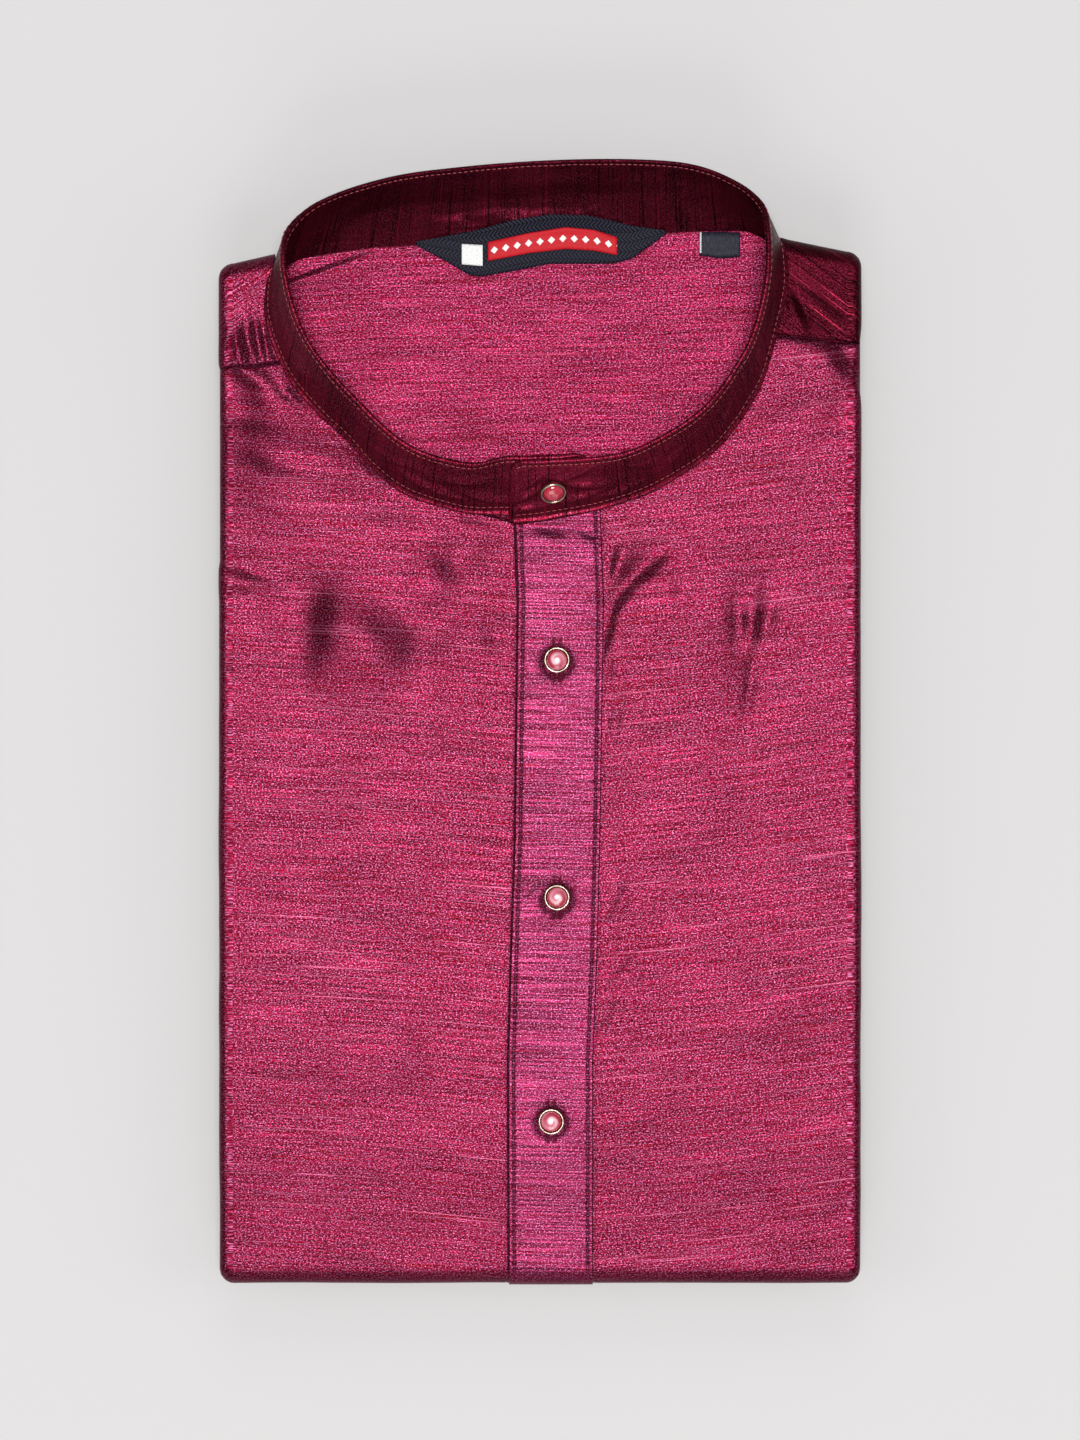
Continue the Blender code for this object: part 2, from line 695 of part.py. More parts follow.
def turned(name, profile, finish, collection, closed):
    shape = bmesh.new()
    verts = [shape.verts.new((r * MM, 0, z * MM)) for r, z in profile]
    for a, b in zip(verts, verts[1:]):
        shape.edges.new((a, b))
    if closed:
        shape.edges.new((verts[-1], verts[0]))
    mesh = bpy.data.meshes.new(name)
    shape.to_mesh(mesh)
    shape.free()
    made = add_object(name, mesh, finish, collection)
    spin = made.modifiers.new("turn", "SCREW")
    spin.steps = spin.render_steps = BUTTON_SEGMENTS
    spin.use_merge_vertices = True
    spin.merge_threshold = 0.00001
    return made


def add_button(number, place, normal, collection):
    frame = normal.to_track_quat("Z", "Y").to_matrix().to_4x4()
    where = Matrix.Translation((place + normal * GAP) * MM) @ frame
    for part, profile, finish, closed in (
        ("rim", RIM_PROFILE, "metal", True),
        ("dome", DOME_PROFILE, "resin", False),
    ):
        turned(f"button_{number}_{part}", profile, finish, collection, closed).matrix_world = where


def add_buttons(collection):
    distance = float(np.interp(COLLAR_BUTTON_X, COLLAR_ROWS[:3, 0], COLLAR_MARKS[:3]))
    outward = band_axes(collar_section(distance), distance)[1]
    face = band_point(distance, COLLAR_BUTTON_UP, stand=BAND / 2)
    add_button(1, face, outward, collection)
    for number, (x, y) in enumerate(BUTTONS_ON_PLACKET, start=2):
        face = laid(x, y, lift=GAP + CLOTH)
        add_button(number, face, Vector((0, 0, 1)), collection)


def main():
    clear_scene()
    garment = bpy.data.collections.new("folded_kurta_tunic")
    helpers = bpy.data.collections.new("cutters")
    bpy.context.scene.collection.children.link(garment)
    bpy.context.scene.collection.children.link(helpers)
    add_folded_layers(garment, neck_cutter(helpers))
    add_fronts(garment)
    add_placket(garment)
    add_yoke(garment)
    add_back_inner(garment)
    add_collar(garment)
    add_labels(garment)
    add_buttons(garment)


main()
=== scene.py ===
"""The looks of a silk kurta tunic, folded for a shelf and laid flat with its front up.

Sizes are millimetres until a mesh is written. +X is to the right as the garment is seen from above,
+Y runs from the folded hem end to the collar and +Z is up from the table."""

import math

import bmesh
import bpy
import numpy as np
from mathutils import Matrix, Vector, noise


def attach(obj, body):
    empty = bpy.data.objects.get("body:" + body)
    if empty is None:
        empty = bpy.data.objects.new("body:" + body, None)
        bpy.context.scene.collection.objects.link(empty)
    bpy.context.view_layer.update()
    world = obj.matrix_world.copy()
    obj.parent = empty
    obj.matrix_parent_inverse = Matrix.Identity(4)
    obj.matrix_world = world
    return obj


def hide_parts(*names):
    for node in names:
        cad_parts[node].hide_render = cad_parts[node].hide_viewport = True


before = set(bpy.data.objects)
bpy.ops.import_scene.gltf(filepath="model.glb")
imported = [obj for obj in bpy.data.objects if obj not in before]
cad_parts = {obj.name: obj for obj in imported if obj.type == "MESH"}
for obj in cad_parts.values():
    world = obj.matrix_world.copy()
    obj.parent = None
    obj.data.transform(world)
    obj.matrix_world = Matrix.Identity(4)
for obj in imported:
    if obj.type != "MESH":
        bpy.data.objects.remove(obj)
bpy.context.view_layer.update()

MM = 0.001
GAP = 0.35  # air between two pieces that touch on the real garment

# The folded packet, as its solids are made
HALF_WIDTH = 112.7
HEM_END = -196.0
FRONT_TOP = 24.6
HEM_DROOP = 2.0
SHOULDER_DROOP = 0.6
SIDE_ROLL = 5.0
HEM_ROLL = 6.5
NECK_ROLL = 6.0
TUCK = math.radians(150)
WALL = 1.2  # the solids' cloth wall
BAND = 1.8  # the solids' band wall
NECK_FLOOR = 20.4
BAND_STAND = 2.15
BAND_CORNER = 6.0
UNDER_END = 30.0
OVERLAP_BLEND = 18.0
PLACKET_SEAM = 8.0
PLACKET_TOP = 76.0
HEM_EDGE = HEM_END + HEM_ROLL - HEM_ROLL * TUCK
SIDE_FOLD = HALF_WIDTH - SIDE_ROLL
SIDE_EDGE = SIDE_FOLD + SIDE_ROLL * TUCK
SEAM_UNDER_BAND = 0.9
PLACKET_BELOW_BAND = 1.5
UNDER_LEDGE = 0.9
BESIDE_BAND = 1.7
BAND_SIDE_FROM = 70.0
BACK_FROM_Y = 162.0

# Finer sizes of the cloth
CLOTH = 0.45  # thickness of the silk that shows
EDGE_ROLL = 0.4  # radius of the placket's pressed edges
SIDE_SHARPNESS = 0.42  # 1 rolls a fold over in a round arc, and less keeps its top flat for longer
END_SHARPNESS = 0.95
STITCH_PITCH = 2.1
STITCH_LENGTH = 1.55
THREAD = 0.36
TOP_ROW = 1.7  # the band's upper row of stitches, down from its edge
LOWER_ROW = 4.3  # its lower row, up from the foot
PLACKET_ROW = 1.9  # the placket's rows, in from its edges
GROOVE = 0.2  # depth of a row of stitches in the cloth
GROOVE_HALF = 0.4
DEEPEST = -1.9  # no crease of the fronts goes lower, because the folded layers lie there

EDGE_SWAY = (-0.3, 0.2)  # how far creases move the packet's edge in and out
LIFTED_OUT = 0.35  # how far a raised layer stands out past that edge
SIDE_CREST = SIDE_FOLD + 1.3  # the columns of a grid lie closest between the side fold and here
RIGHT_FRONT_FROM = PLACKET_SEAM + 9.0
CREASE_WANDER = 0.8
SLOPE_REACH = 3.5  # a slope dies out this many half widths away
PUCKER = 0.15  # height of the swellings between the needle holes
PUCKER_HALF = 1.1
YOKE_ROW = 1.6  # the yokes' row of stitches, up from their seam
YOKE_OVERLAP = 0.2
NECK_SEAM_ROW = 1.0
NECK_LINE = (
    # x, y
    (-112.7, 161.3),
    (-91.0, 166.3),
    (-60.0, 169.6),
    (-30.0, 171.2),
    (0.0, 172.6),
    (35.0, 174.6),
    (60.0, 175.4),
    (78.0, 173.6),
    (87.0, 170.9),
    (112.7, 165.6),
)
YOKE_SEAM = (
    # x, y
    (-112.7, 124.8),
    (-89.5, 127.4),
    (81.5, 137.0),
    (112.7, 133.8),
)
PLACKET_EDGES = (
    # y, free edge x, stitched edge x
    (-198.0, -10.9, 18.6),
    (-117.0, -11.1, 18.6),
    (-82.0, -10.2, 20.0),
    (-40.0, -8.8, 21.1),
    (44.0, -7.7, 22.4),
    (75.0, -8.8, 21.2),
)
COLLAR = (
    # foot x, y, z, top x, y, z, bulge away from the neck
    (-10.9, 71.3, 25.6, -10.6, 91.6, 45.2, 0.8),
    (3.5, 72.9, 25.6, 3.4, 91.8, 45.2, 0.9),
    (25.2, 77.8, 25.6, 23.4, 93.2, 45.6, 0.9),
    (41.3, 84.1, 25.6, 37.2, 97.3, 46.4, 0.9),
    (61.6, 98.1, 25.5, 56.8, 110.0, 47.6, 0.8),
    (75.3, 117.7, 25.5, 70.2, 128.7, 48.0, 0.6),
    (80.6, 133.4, 25.4, 75.2, 141.4, 48.0, 0.4),
    (83.9, 146.4, 25.2, 77.9, 155.2, 47.6, 0.3),
    (85.4, 158.9, 24.6, 78.1, 170.1, 45.6, 0.2),
    (82.7, 169.4, 22.6, 76.2, 180.3, 42.2, 0.4),
    (73.0, 174.2, 20.6, 68.5, 188.0, 38.6, 0.8),
    (56.2, 174.3, 19.8, 54.2, 194.4, 36.0, 1.4),
    (35.1, 173.3, 19.6, 34.7, 196.6, 35.0, 1.8),
    (3.5, 171.5, 19.6, 3.5, 196.4, 34.6, 1.9),
    (-31.6, 170.1, 19.6, -29.5, 193.8, 35.0, 1.8),
    (-59.4, 168.4, 19.8, -54.1, 189.8, 36.4, 1.4),
    (-84.3, 164.4, 21.2, -76.8, 181.1, 39.4, 0.8),
    (-92.9, 157.6, 23.8, -86.3, 171.6, 43.0, 0.4),
    (-94.9, 145.4, 25.2, -88.1, 161.2, 46.0, 0.3),
    (-91.6, 131.4, 25.4, -85.6, 147.3, 47.0, 0.4),
    (-83.7, 117.3, 25.5, -79.4, 132.0, 47.6, 0.6),
    (-68.6, 102.3, 25.5, -65.4, 114.7, 47.8, 0.8),
    (-48.3, 82.8, 25.6, -45.4, 96.9, 46.6, 0.9),
    (-25.9, 75.0, 25.6, -24.1, 90.4, 45.6, 0.8),
)
RIGHTMOST = 8
LEFTMOST = 18

# The large folds of the solids, then the finer creases that only the cloth has
SEAM_MARGIN = 1.5
FOLD_FADE = 12.0
FRONT_FOLDS = (
    # x, y, direction in degrees, half length, half width, height
    (-98.0, 119.0, -42, 17.0, 6.0, 1.5),
    (-107.0, 108.0, -60, 14.0, 7.0, -0.9),
    (-78.0, 40.0, 80, 15.0, 8.0, -0.8),
    (-52.0, 32.0, -60, 14.0, 8.0, -0.6),
    (-104.0, 52.0, -14, 16.0, 7.0, 0.9),
    (-66.0, 86.0, 35, 26.0, 16.0, 0.8),
    (37.0, 52.0, 44, 15.0, 7.5, -0.7),
    (76.0, 25.0, 80, 24.0, 8.0, -0.9),
    (58.0, 44.0, 62, 26.0, 12.0, 0.8),
    (107.0, 122.0, 78, 15.0, 6.0, -0.9),
    (94.0, 108.0, 30, 18.0, 9.0, 0.9),
    (62.0, -70.0, 10, 52.0, 15.0, 0.5),
    (-64.0, -46.0, -8, 48.0, 15.0, 0.5),
    (-58.0, -132.0, 4, 46.0, 12.0, -0.4),
    (66.0, -140.0, 8, 40.0, 12.0, -0.4),
)
CREASES = (
    # x, y, direction in degrees, half length, half width, height, lean: 0 ridge or hollow, 1 slope
    # left shoulder
    (-105.6, 133.0, -80, 7.0, 1.7, 0.9, 0.0),
    (-101.6, 134.6, -78, 7.0, 1.5, -0.8, 0.0),
    (-98.6, 134.0, -81, 7.5, 1.3, 0.8, 0.0),
    (-96.0, 135.0, -80, 6.0, 1.2, -0.7, 0.0),
    (-93.8, 136.0, -80, 6.5, 1.2, 0.6, 0.0),
    (-91.6, 135.5, -79, 6.0, 1.3, -0.8, 0.0),
    (-98.0, 121.5, -28, 13.0, 2.6, 0.9, 0.0),
    (-88.6, 116.4, -33, 6.0, 1.4, -0.9, 0.0),
    (-106.5, 121.0, -24, 8.0, 3.2, -1.1, 0.6),
    # left chest
    (-113.0, 97.0, 86, 25.0, 15.0, -2.1, 0.0),
    (-101.0, 106.0, -18, 18.0, 5.5, -1.5, 1.0),
    (-95.0, 91.0, -20, 24.0, 4.6, 1.25, 1.0),
    (-80.0, 92.0, -8, 8.0, 1.5, -0.4, 0.0),
    (-62.0, 84.0, -18, 16.0, 3.4, 0.7, 1.0),
    (-98.0, 76.0, -12, 20.0, 4.2, 1.0, 1.0),
    (-55.5, 74.0, -5, 11.0, 2.0, -0.35, 0.3),
    (-100.0, 67.0, -4, 15.0, 3.2, 0.45, 1.0),
    (-104.5, 50.0, -15, 8.0, 2.2, 0.6, 0.0),
    (-100.0, 53.6, -18, 14.0, 1.3, -0.5, 0.0),
    (-78.0, 41.0, 64, 12.0, 7.5, -2.1, 1.0),
    (-78.5, 25.0, 78, 12.0, 4.5, -0.8, 1.0),
    (-49.5, 31.0, -54, 12.5, 7.8, -2.1, 1.0),
    (-33.0, 54.5, -38, 9.0, 6.0, -1.7, 1.0),
    (-17.9, 29.0, -60, 6.5, 3.0, 0.6, 1.0),
    (-36.0, 14.0, -50, 12.0, 4.5, 0.4, 1.0),
    (-84.0, 8.0, 74, 15.0, 5.0, 0.4, 1.0),
    (-70.0, -58.0, 62, 26.0, 8.0, 0.5, 1.0),
    (-46.0, -118.0, 70, 30.0, 8.0, 0.45, 1.0),
    # right chest
    (26.0, 57.0, 74, 7.0, 1.5, -0.8, 1.0),
    (37.6, 53.6, 40, 8.5, 2.2, -1.1, 1.0),
    (29.0, 44.5, 53, 6.5, 2.2, -0.9, 1.0),
    (24.8, 33.0, 76, 9.0, 1.6, -0.6, 1.0),
    (25.6, 20.0, 84, 8.0, 1.6, -0.35, 1.0),
    (26.4, 2.0, 80, 6.0, 1.6, -0.6, 0.2),
    (47.2, 47.0, 62, 4.5, 2.4, 0.5, 1.0),
    (74.4, 37.0, 86, 9.0, 2.6, 0.9, 0.0),
    (68.8, 36.5, 94, 7.0, 2.4, -0.6, 0.0),
    (79.8, 37.0, 78, 7.5, 2.6, -0.55, 0.0),
    (73.4, 14.0, 84, 11.0, 1.6, -0.5, 0.0),
    (85.0, 35.0, 30, 6.0, 3.5, 0.5, 1.0),
    (28.5, -62.0, 62, 8.0, 2.0, -0.5, 0.0),
    (31.5, -84.0, 50, 9.0, 2.0, -0.45, 0.0),
    (27.0, -99.0, 70, 7.0, 1.8, -0.35, 0.0),
    (62.0, -40.0, 24, 26.0, 6.0, 0.35, 1.0),
    (84.0, -108.0, 16, 24.0, 6.0, 0.3, 1.0),
    # right shoulder
    (104.0, 129.5, -48, 10.0, 2.8, -1.2, 1.0),
    (110.0, 120.0, -60, 8.0, 2.8, -0.7, 1.0),
    (90.5, 128.0, -66, 6.0, 2.2, 0.5, 0.6),
    (88.0, 147.0, -52, 6.5, 2.2, 1.1, 0.0),
    (92.5, 144.0, -62, 5.5, 1.6, -1.1, 0.0),
    (97.0, 150.0, -34, 12.0, 3.0, 0.7, 1.0),
    (104.0, 144.0, -36, 10.0, 3.0, 0.5, 1.0),
    # placket
    (3.0, 68.0, -12, 9.0, 2.6, -1.0, 1.0),
    (17.5, 66.0, -24, 5.0, 1.4, -0.6, 1.0),
    (-1.5, -58.0, 44, 6.0, 1.3, -0.4, 0.0),
    (11.5, -55.0, 48, 6.5, 1.2, -0.3, 0.0),
    (2.0, -67.0, 30, 5.0, 1.4, -0.3, 0.0),
    (-3.5, 12.0, 24, 6.0, 1.6, -0.25, 0.0),
)
BAND_CREASES = (
    # distance from the upper end, height up the band, direction, half length, half width, height
    (5.5, 7.4, 4, 5.5, 1.3, 1.5),
    (5.0, 13.0, 24, 5.0, 1.5, 1.8),
    (7.5, 19.0, 38, 4.5, 1.4, 1.3),
    (25.5, 9.4, 8, 8.0, 1.4, 1.6),
    (27.0, 15.0, -16, 7.5, 1.6, 1.9),
    (24.0, 20.5, 20, 5.0, 1.3, 1.2),
    (38.0, 8.0, 4, 10.0, 1.3, 1.2),
    (50.0, 17.0, -20, 9.0, 1.4, 0.5),
    (62.0, 13.0, 30, 7.0, 1.3, 0.6),
    (84.0, 11.0, 42, 7.0, 1.5, 0.8),
    (97.0, 17.0, 60, 7.0, 1.4, 0.6),
    (106.0, 12.0, 54, 8.0, 1.6, 0.8),
    (124.0, 10.0, 20, 9.0, 1.6, 0.6),
    (352.0, 12.0, -30, 9.0, 1.6, 0.5),
    (380.0, 13.0, 30, 9.0, 1.6, 0.7),
    (402.0, 10.0, -24, 10.0, 1.5, 0.8),
    (424.0, 15.0, 14, 10.0, 1.3, 0.8),
    (440.0, 10.0, -12, 12.0, 1.6, 1.7),
    (452.0, 17.0, 8, 9.0, 1.6, 1.3),
    (461.0, 9.0, -16, 9.0, 1.4, 1.6),
)

LAYERS = (
    # side low, high, back; hem low, high, back; neck low, high, back
    (0.0, 3.5, 3.0, 0.0, 2.1, 6.0, 0.0, 2.9, 4.0),
    (3.8, 7.2, 1.6, 2.3, 4.2, 4.4, 3.1, 5.8, 2.4),
    (7.5, 10.9, 2.6, 4.4, 6.3, 3.0, 6.0, 8.7, 3.2),
    (11.2, 14.4, 1.1, 6.5, 8.3, 2.2, 8.9, 11.7, 2.0),
    (16.6, 21.7, 2.8, 11.9, 20.3, 2.6, 14.5, 21.2, 2.5),
)
LAYER_DROOP_FROM = 11.0
CORE_CORNER = 7.0

TAPE = (
    # x, lower y, upper y
    (-43.5, 168.7, 169.9),
    (-34.0, 163.6, 171.6),
    (-24.6, 158.1, 173.3),
    (-20.4, 157.7, 174.3),
    (-8.4, 159.8, 177.4),
    (3.5, 162.2, 179.1),
    (16.2, 162.2, 178.8),
    (25.6, 162.2, 177.0),
    (32.3, 164.0, 175.4),
    (44.2, 172.6, 173.8),
)
PATCH = (
    # x, lower y, upper y
    (-18.2, 163.0, 169.7),
    (-4.0, 165.7, 172.7),
    (9.0, 167.2, 174.7),
    (19.0, 166.6, 173.8),
    (27.0, 165.0, 171.4),
)
SQUARE = (
    # x, lower y, upper y
    (-27.4, 161.8, 169.0),
    (-20.1, 161.2, 168.6),
)
SIZE_TAB = (
    # x, lower y, upper y
    (55.8, 165.2, 173.3),
    (63.0, 164.1, 173.4),
    (70.2, 164.6, 173.2),
)
BUTTONS_ON_PLACKET = (
    # x, y
    (5.9, 23.1),
    (5.9, -59.8),
    (3.9, -138.0),
)
COLLAR_BUTTON_X = 4.2
COLLAR_BUTTON_UP = 0.55

# Directions of the weft in each piece, in degrees from +X
WEFT = {"left": -4.0, "right": 6.0, "placket": 0.5, "inside": 2.0, "yoke_left": 35.0, "yoke_right": -36.0}


def smooth_step(value):
    t = np.clip(value, 0.0, 1.0)
    return t * t * (3 - 2 * t)


def read_table(value, table, index):
    """Straight-line reading of one column at values of the first."""
    return np.interp(value, [row[0] for row in table], [row[index] for row in table])


def spread(share, marks):
    """Positions read from evenly counted steps: marks are (steps, position) rows."""
    counts = np.cumsum([row[0] for row in marks])
    at = share * counts[-1]
    place = marks[0][1] + 0 * share
    for i in range(1, len(marks)):
        start, end = marks[i - 1][1], marks[i][1]
        part = np.clip((at - counts[i - 1]) / (counts[i] - counts[i - 1]), 0.0, 1.0)
        place = np.where(at > counts[i - 1], start + (end - start) * part, place)
    return place


def unit(vectors):
    return vectors / np.maximum(np.linalg.norm(vectors, axis=-1, keepdims=True), 1e-12)


def bell(away, half):
    """1 in the middle, and nearly 0 from twice this half width on."""
    return np.exp(-((away / half) ** 2))


def pointing(way, like):
    """The same direction for each of some points."""
    return np.tile(way, (len(like), 1))


def rough_noise(x, y, across, along, seed):
    """Soft noise from -1 to 1, with one cell this far across and along."""
    return np.array([noise.noise((a / across, b / along, seed)) for a, b in zip(x, y)])


FEET = np.array(COLLAR)[:, :2]
FOOT_RUNS = np.roll(FEET, -1, axis=0) - FEET


def from_neck(x, y):
    """Distance of points from the foot of the band, as seen from above."""
    gone = np.stack([x, y], axis=-1)[:, None, :] - FEET
    share = np.clip((gone * FOOT_RUNS).sum(axis=2) / (FOOT_RUNS**2).sum(axis=1), 0.0, 1.0)
    return np.linalg.norm(gone - FOOT_RUNS * share[:, :, None], axis=2).min(axis=1)


def turned_axes(x, y, row):
    turn = math.radians(row[2])
    along = (x - row[0]) * math.cos(turn) + (y - row[1]) * math.sin(turn)
    across = (y - row[1]) * math.cos(turn) - (x - row[0]) * math.sin(turn)
    return along / row[3], across / row[4]


def folds_at(x, y):
    height = 0.0 * x
    for row in FRONT_FOLDS:
        along, across = turned_axes(x, y, row)
        height += row[5] * np.exp(-(along**2) - across**2)
    return height * smooth_step((from_neck(x, y) - SEAM_MARGIN) / FOLD_FADE)


def creases_at(x, y):
    """Height of the fine creases: ridges and hollows, and slopes where a row leans."""
    height = 0.0 * x
    wander = CREASE_WANDER * rough_noise(x, y, 9.0, 9.0, 3.0)
    for row in CREASES:
        along, across = turned_axes(x + wander, y + wander, row)
        slope = np.tanh(across) * bell(across, SLOPE_REACH)
        height += row[5] * bell(along, 1.0) * (bell(across, 1.0) * (1 - row[6]) + slope * row[6])
    soft = 0.22 * rough_noise(x, y, 34.0, 22.0, 7.0) + 0.07 * rough_noise(x, y, 13.0, 8.0, 11.0)
    return (height + soft) * smooth_step((from_neck(x, y) - 0.6) / 4.0)


def front_level(y):
    hem = smooth_step((-130.0 - y) / 60.0)
    shoulder = smooth_step((y - 125.0) / 35.0)
    return FRONT_TOP - HEM_DROOP * hem - SHOULDER_DROOP * shoulder


def laid(x, y, lift=0.0):
    """Where points of flat cloth come to lie: flat in the packet's edges, rolled down past them."""
    inner_x = np.clip(x, SIDE_ROLL - HALF_WIDTH, HALF_WIDTH - SIDE_ROLL)
    inner_y = np.clip(y, HEM_END + HEM_ROLL, neck_fold(inner_x))
    end_roll = np.where(y < inner_y, HEM_ROLL, NECK_ROLL)
    turn_x = np.abs(x - inner_x) / SIDE_ROLL
    turn_y = np.abs(y - inner_y) / end_roll
    turn = np.hypot(turn_x, turn_y)
    heading = np.arctan2(turn_y, turn_x)
    roll = SIDE_ROLL * np.cos(heading) ** 2 + end_roll * np.sin(heading) ** 2
    rise = np.maximum(lift + folds_at(inner_x, inner_y) * np.cos(turn / 2) ** 2, DEEPEST)
    over = np.maximum(np.sin(turn), 0.0)
    sharp = np.where(turn_x >= turn_y, SIDE_SHARPNESS, END_SHARPNESS)
    outward = np.clip(rise, *EDGE_SWAY) + LIFTED_OUT * smooth_step((lift - 0.2) / 1.2)
    reach = (roll + outward) * np.where(turn < math.pi / 2, over**sharp, over)
    drop = roll - (roll + rise) * np.cos(turn)
    return np.stack(
        [
            inner_x + np.copysign(np.cos(heading), x - inner_x) * reach,
            inner_y + np.copysign(np.sin(heading), y - inner_y) * reach,
            front_level(inner_y) - drop,
        ],
        axis=-1,
    )


COLLAR_ROWS = np.array(COLLAR + COLLAR[:3])
COLLAR_MARKS = np.concatenate(
    [[0.0], np.cumsum(np.linalg.norm(np.diff(COLLAR_ROWS[:, :3], axis=0), axis=1))]
)
BAND_LENGTH = float(COLLAR_MARKS[len(COLLAR)] + UNDER_END)


def collar_section(distance):
    """The table read by a smooth curve, at distances round the foot of the band."""
    last = len(COLLAR_ROWS) - 1
    i = np.clip(np.searchsorted(COLLAR_MARKS, distance, side="right") - 1, 0, last - 1)
    before, after = np.maximum(i - 1, 0), np.minimum(i + 2, last)
    step = (COLLAR_MARKS[i + 1] - COLLAR_MARKS[i])[:, None]
    start, end = COLLAR_ROWS[i], COLLAR_ROWS[i + 1]
    slope_in = (end - COLLAR_ROWS[before]) / (COLLAR_MARKS[i + 1] - COLLAR_MARKS[before])[:, None]
    slope_out = (COLLAR_ROWS[after] - start) / (COLLAR_MARKS[after] - COLLAR_MARKS[i])[:, None]
    t = (distance - COLLAR_MARKS[i])[:, None] / step
    return (
        (1 + 2 * t) * (1 - t) ** 2 * start
        + t * (1 - t) ** 2 * step * slope_in
        + t * t * (3 - 2 * t) * end
        + t * t * (t - 1) * step * slope_out
    )


def band_point(distance, height, out):
    """Points of the band at a height up it and a distance out of its middle surface."""
    section = collar_section(distance)
    foot, top = section[:, :3], section[:, 3:6]
    ahead = collar_section(np.minimum(distance + 1.0, BAND_LENGTH))
    behind = collar_section(np.maximum(distance - 1.0, 0.0))
    up = unit(top - foot)
    outward = unit(np.cross(unit(ahead[:, :3] - behind[:, :3]), up))
    tall = np.linalg.norm(top - foot, axis=1)
    from_end = np.minimum(distance, BAND_LENGTH - distance)
    short = np.clip(BAND_CORNER - from_end, 0.0, BAND_CORNER)
    cut = BAND_CORNER - np.sqrt(BAND_CORNER**2 - short**2)
    reach = height / tall * (1 - cut / tall)
    sink = BAND_STAND * smooth_step((distance - COLLAR_MARKS[len(COLLAR)]) / OVERLAP_BLEND + 1)
    start = foot + up * sink[:, None]
    off = section[:, 6] * 4 * reach * (1 - reach) - sink + out
    return start + (top - start) * reach[:, None] + outward * off[:, None]


def band_height(distance):
    section = collar_section(distance)
    return np.linalg.norm(section[:, 3:6] - section[:, :3], axis=1)


def neck_line_points(inset):
    """The foot of the band as seen from above, moved towards the neck."""
    along = unit(np.roll(FEET, -1, axis=0) - np.roll(FEET, 1, axis=0))
    return [tuple(p) for p in FEET + inset * np.stack([-along[:, 1], along[:, 0]], axis=1)]


def neck_y(x, inset, at_back):
    """Front or back edge of the neck hole at x."""
    points = neck_line_points(inset)
    edge = points[RIGHTMOST : LEFTMOST + 1] if at_back else points[LEFTMOST:] + points[: RIGHTMOST + 1]
    return read_table(x, sorted(edge), 1)


def front_top(x):
    """Upper edge of a front: the yoke seam, then the foot of the band."""
    seam = read_table(x, YOKE_SEAM, 1)
    beside = (x < YOKE_SEAM[1][0]) | (x > YOKE_SEAM[2][0])
    return np.where(beside, seam, np.minimum(seam, neck_y(x, SEAM_UNDER_BAND, at_back=False)))


def inside_edge(x):
    """Back edge of the cloth seen inside the neck."""
    return np.minimum(neck_y(x, 0.1, at_back=True), read_table(x, NECK_LINE, 1) - 0.2)


BACK_SECTIONS = sorted(row for row in COLLAR if row[2] < 21 and row[1] > 150)  # behind the neck


def inside_height(x, y):
    """Height of the cloth seen inside the neck: the back's inside face, then the foot of the band."""
    foot_y, foot_z, top_y, top_z, bulge = (read_table(x, BACK_SECTIONS, i) for i in (1, 2, 4, 5, 6))
    share = (y - foot_y) / (top_y - foot_y)
    rise = (top_z - foot_z) * share - bulge * 4 * share * (1 - share)
    return NECK_FLOOR + np.where(share > 0, np.maximum(rise, 0.0) * 1.05, 0.0)


def along_weft(x, y, name, shift=0.0):
    """Cloth coordinates: the first along the weft, whose thick yarns show as lines."""
    turn = math.radians(WEFT[name])
    along = x * math.cos(turn) + y * math.sin(turn)
    across = y * math.cos(turn) - x * math.sin(turn)
    return np.stack([along + shift, across + shift + 0.9 * np.sin(along / 31.0)], axis=-1)


collection = bpy.data.collections.new("kurta_cloth")
bpy.context.scene.collection.children.link(collection)


def add_piece(name, mesh, material, replaced=()):
    mesh.materials.append(material)
    mesh.shade_smooth()
    piece = bpy.data.objects.new(name, mesh)
    collection.objects.link(piece)
    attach(piece, "root")
    if replaced:
        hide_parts(*replaced)
    return piece


def grid_mesh(name, columns, rows, place, weld=False, fill_below=False):
    """A grid of cloth, whose points and cloth coordinates a function gives for shares across and up."""
    shape = bmesh.new()
    bmesh.ops.create_grid(shape, x_segments=columns, y_segments=rows, size=0.5)
    mesh = bpy.data.meshes.new(name)
    shape.to_mesh(mesh)
    shape.free()
    flat = np.empty(len(mesh.vertices) * 3, np.float32)
    mesh.vertices.foreach_get("co", flat)
    shares = flat.reshape(-1, 3).astype(float) + 0.5
    points, cloth = place(shares[:, 0], shares[:, 1])
    mesh.vertices.foreach_set("co", (points * MM).astype(np.float32).ravel())
    corners = np.empty(len(mesh.loops), np.int32)
    mesh.loops.foreach_get("vertex_index", corners)
    layer = mesh.uv_layers.new(name="cloth")
    layer.data.foreach_set("uv", (cloth[corners] * MM).astype(np.float32).ravel())
    mesh.update()
    if weld:
        shape = bmesh.new()
        shape.from_mesh(mesh)
        bmesh.ops.remove_doubles(shape, verts=shape.verts, dist=0.01 * MM)
        if fill_below:
            open_edges = [e for e in shape.edges if e.is_boundary and e.verts[0].co.z < 0.001]
            bmesh.ops.holes_fill(shape, edges=open_edges, sides=0)
        bmesh.ops.recalc_face_normals(shape, faces=shape.faces)
        shape.to_mesh(mesh)
        shape.free()
    return mesh


def thicken(piece, wall):
    solid = piece.modifiers.new("thickness", "SOLIDIFY")
    solid.thickness = wall * MM
    solid.offset = -1.0


